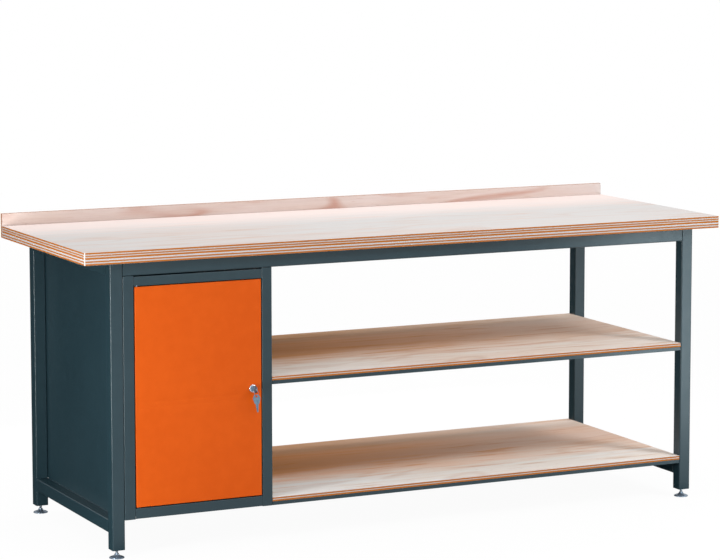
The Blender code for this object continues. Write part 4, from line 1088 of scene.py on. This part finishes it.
def make_feet():
    thread = thread_recipe()
    for corner in CORNERS:
        dressed(f"foot_insert_{corner}", NYLON)
        low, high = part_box(f"foot_stem_{corner}")
        centre = (low + high) / 2
        length = high.z - low.z
        sizes = {**THREAD_SIZES, "Radius": (high.x - low.x) / 2, "Length": length,
                 "Rows": round(length / THREAD_SIZES["Pitch"] * THREAD_ROWS)}
        stem = thread.make(f"threaded_stem_{corner}", bpy.data.meshes.new("stem"), STEM_ZINC, sizes)
        stem.data.transform(Matrix.Translation((centre.x, centre.y, low.z)))
        hand_over(stem, f"foot_stem_{corner}")
        low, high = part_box(f"foot_pad_{corner}")
        radius = (high.x - low.x) / 2
        height = high.z
        flare = [(radius * share, level) for share, level in PAD_FLARE] + [(radius * PAD_NECK_SHARE, height)]
        profile = [(0.0, 0.0)] + [(radius - inset, level) for inset, level in PAD_RIM]
        profile += smooth_profile(flare, FLARE_STEPS)
        profile += [(PAD_SOCKET_RADIUS, height), (PAD_SOCKET_RADIUS, PAD_SOCKET), (0.0, PAD_SOCKET)]
        pad = turned(f"flared_pad_{corner}", profile, (centre.x, centre.y, 0.0), Z_AXIS, ZINC, PAD_STEPS)
        hand_over(soften(pad, 0.0), f"foot_pad_{corner}")


def seen_directly(net):
    """1 for the rays that show the background itself: straight, mirrored or through glass."""
    straight, mirrored, through = (net.node("ShaderNodeLightPath", output=f"Is {kind} Ray")
                                   for kind in ("Camera", "Glossy", "Transmission"))
    return net.math("MAXIMUM", net.math("MAXIMUM", straight, mirrored), through)


def make_floor():
    """A dull white floor that lights the bench from below and shows as plain white far out."""
    bm = bmesh.new()
    bmesh.ops.create_grid(bm, x_segments=1, y_segments=1, size=FLOOR_HALF)
    paint = Finish("studio_floor")
    direct = seen_directly(paint)
    x, y, _ = paint.split(paint.point)
    far = paint.smooth_step((x ** 2 + y ** 2) ** 0.5, *FLOOR_FADE, FLOOR_GLOW, 1.0)
    pale = paint.mix(paint.noise(paint.point, 3.0, 2.0), FLOOR_DULL, FLOOR_PALE)
    paint.surface(paint.mix(direct, FLOOR_BOUNCE, pale), STUDIO_ROUGH)
    glow = paint.node("ShaderNodeEmission", None, {"Color": WHITE, "Strength": 1.0})
    lit = Signal(paint, paint.shader.outputs[0])
    seen = paint.node("ShaderNodeMixShader", None, {0: direct * far, 1: lit, 2: glow})
    paint.feed(paint.tree.nodes["Material Output"].inputs["Surface"], seen)
    object_from("studio_floor", mesh_from(bm, "studio_floor"), paint.material)


def make_world():
    world = bpy.data.worlds.new("studio")
    world.use_nodes = True
    bpy.context.scene.world = world
    net = Net(world.node_tree)
    direct = seen_directly(net)
    out = net.node("ShaderNodeTexCoord", output="Generated")
    sockets = {0: out, 1: WORLD_BRIGHT_SIDE}
    bright = net.node("ShaderNodeVectorMath", {"operation": "DOT_PRODUCT"}, sockets, "Value")
    soft = net.smooth_step(bright, *WORLD_RANGE, *WORLD_GLOW)
    background = world.node_tree.nodes["Background"]
    net.feed(background.inputs["Color"], WHITE)
    net.feed(background.inputs["Strength"], direct + (1 - direct) * soft)


def make_flag():
    """Black cloth beside, behind and under the bench, which only its reflections see."""
    bm = bmesh.new()
    posts = [(bm.verts.new((x, y, 0.0)), bm.verts.new((x, y, FLAG_HEIGHT))) for x, y in FLAG_POSTS]
    for (low, high), (next_low, next_high) in zip(posts, posts[1:]):
        bm.faces.new((low, next_low, next_high, high))
    bm.faces.new([bm.verts.new((x, y, FLAG_LIFT)) for x, y in FLAG_MAT])
    cloth = Finish("flag_cloth", specular=0.0)
    cloth.surface(cloth.mix(cloth.noise(cloth.point, 300.0, 1.0), FLAG_BLACK, FLAG_WEAVE), STUDIO_ROUGH)
    flag = object_from("studio_flag", mesh_from(bm, "studio_flag"), cloth.material)
    flag.visible_camera = False
    flag.visible_diffuse = False
    flag.visible_shadow = False


def make_lamps():
    for name, (place, aim, size, power, colour) in LAMPS.items():
        light = bpy.data.lights.new(name, "AREA")
        light.shape = "RECTANGLE"
        light.size, light.size_y = size
        light.energy = power
        light.color = colour
        lamp = bpy.data.objects.new(name, light)
        lamp.location = place
        lamp.rotation_euler = (Vector(aim) - Vector(place)).to_track_quat("-Z", "Y").to_euler()
        lamp.visible_camera = False
        lamp.visible_glossy = name not in HIDDEN_IN_REFLECTIONS
        bpy.context.scene.collection.objects.link(lamp)


def make_camera():
    data = bpy.data.cameras.new("camera")
    data.lens = CAMERA_LENS
    data.shift_x, data.shift_y = CAMERA_SHIFT
    camera = bpy.data.objects.new("camera", data)
    camera.location = CAMERA_PLACE
    camera.rotation_euler = (QUARTER - CAMERA_PITCH, 0.0, -CAMERA_YAW)
    bpy.context.scene.collection.objects.link(camera)
    bpy.context.scene.camera = camera


make_camera()
make_boards()
make_frame()
make_sheet_metal()
make_door()
make_welds()
make_small_parts()
make_lock_housing()
make_keys()
make_feet()
make_floor()
make_world()
make_flag()
make_lamps()
bpy.context.scene.view_settings.view_transform = "Standard"
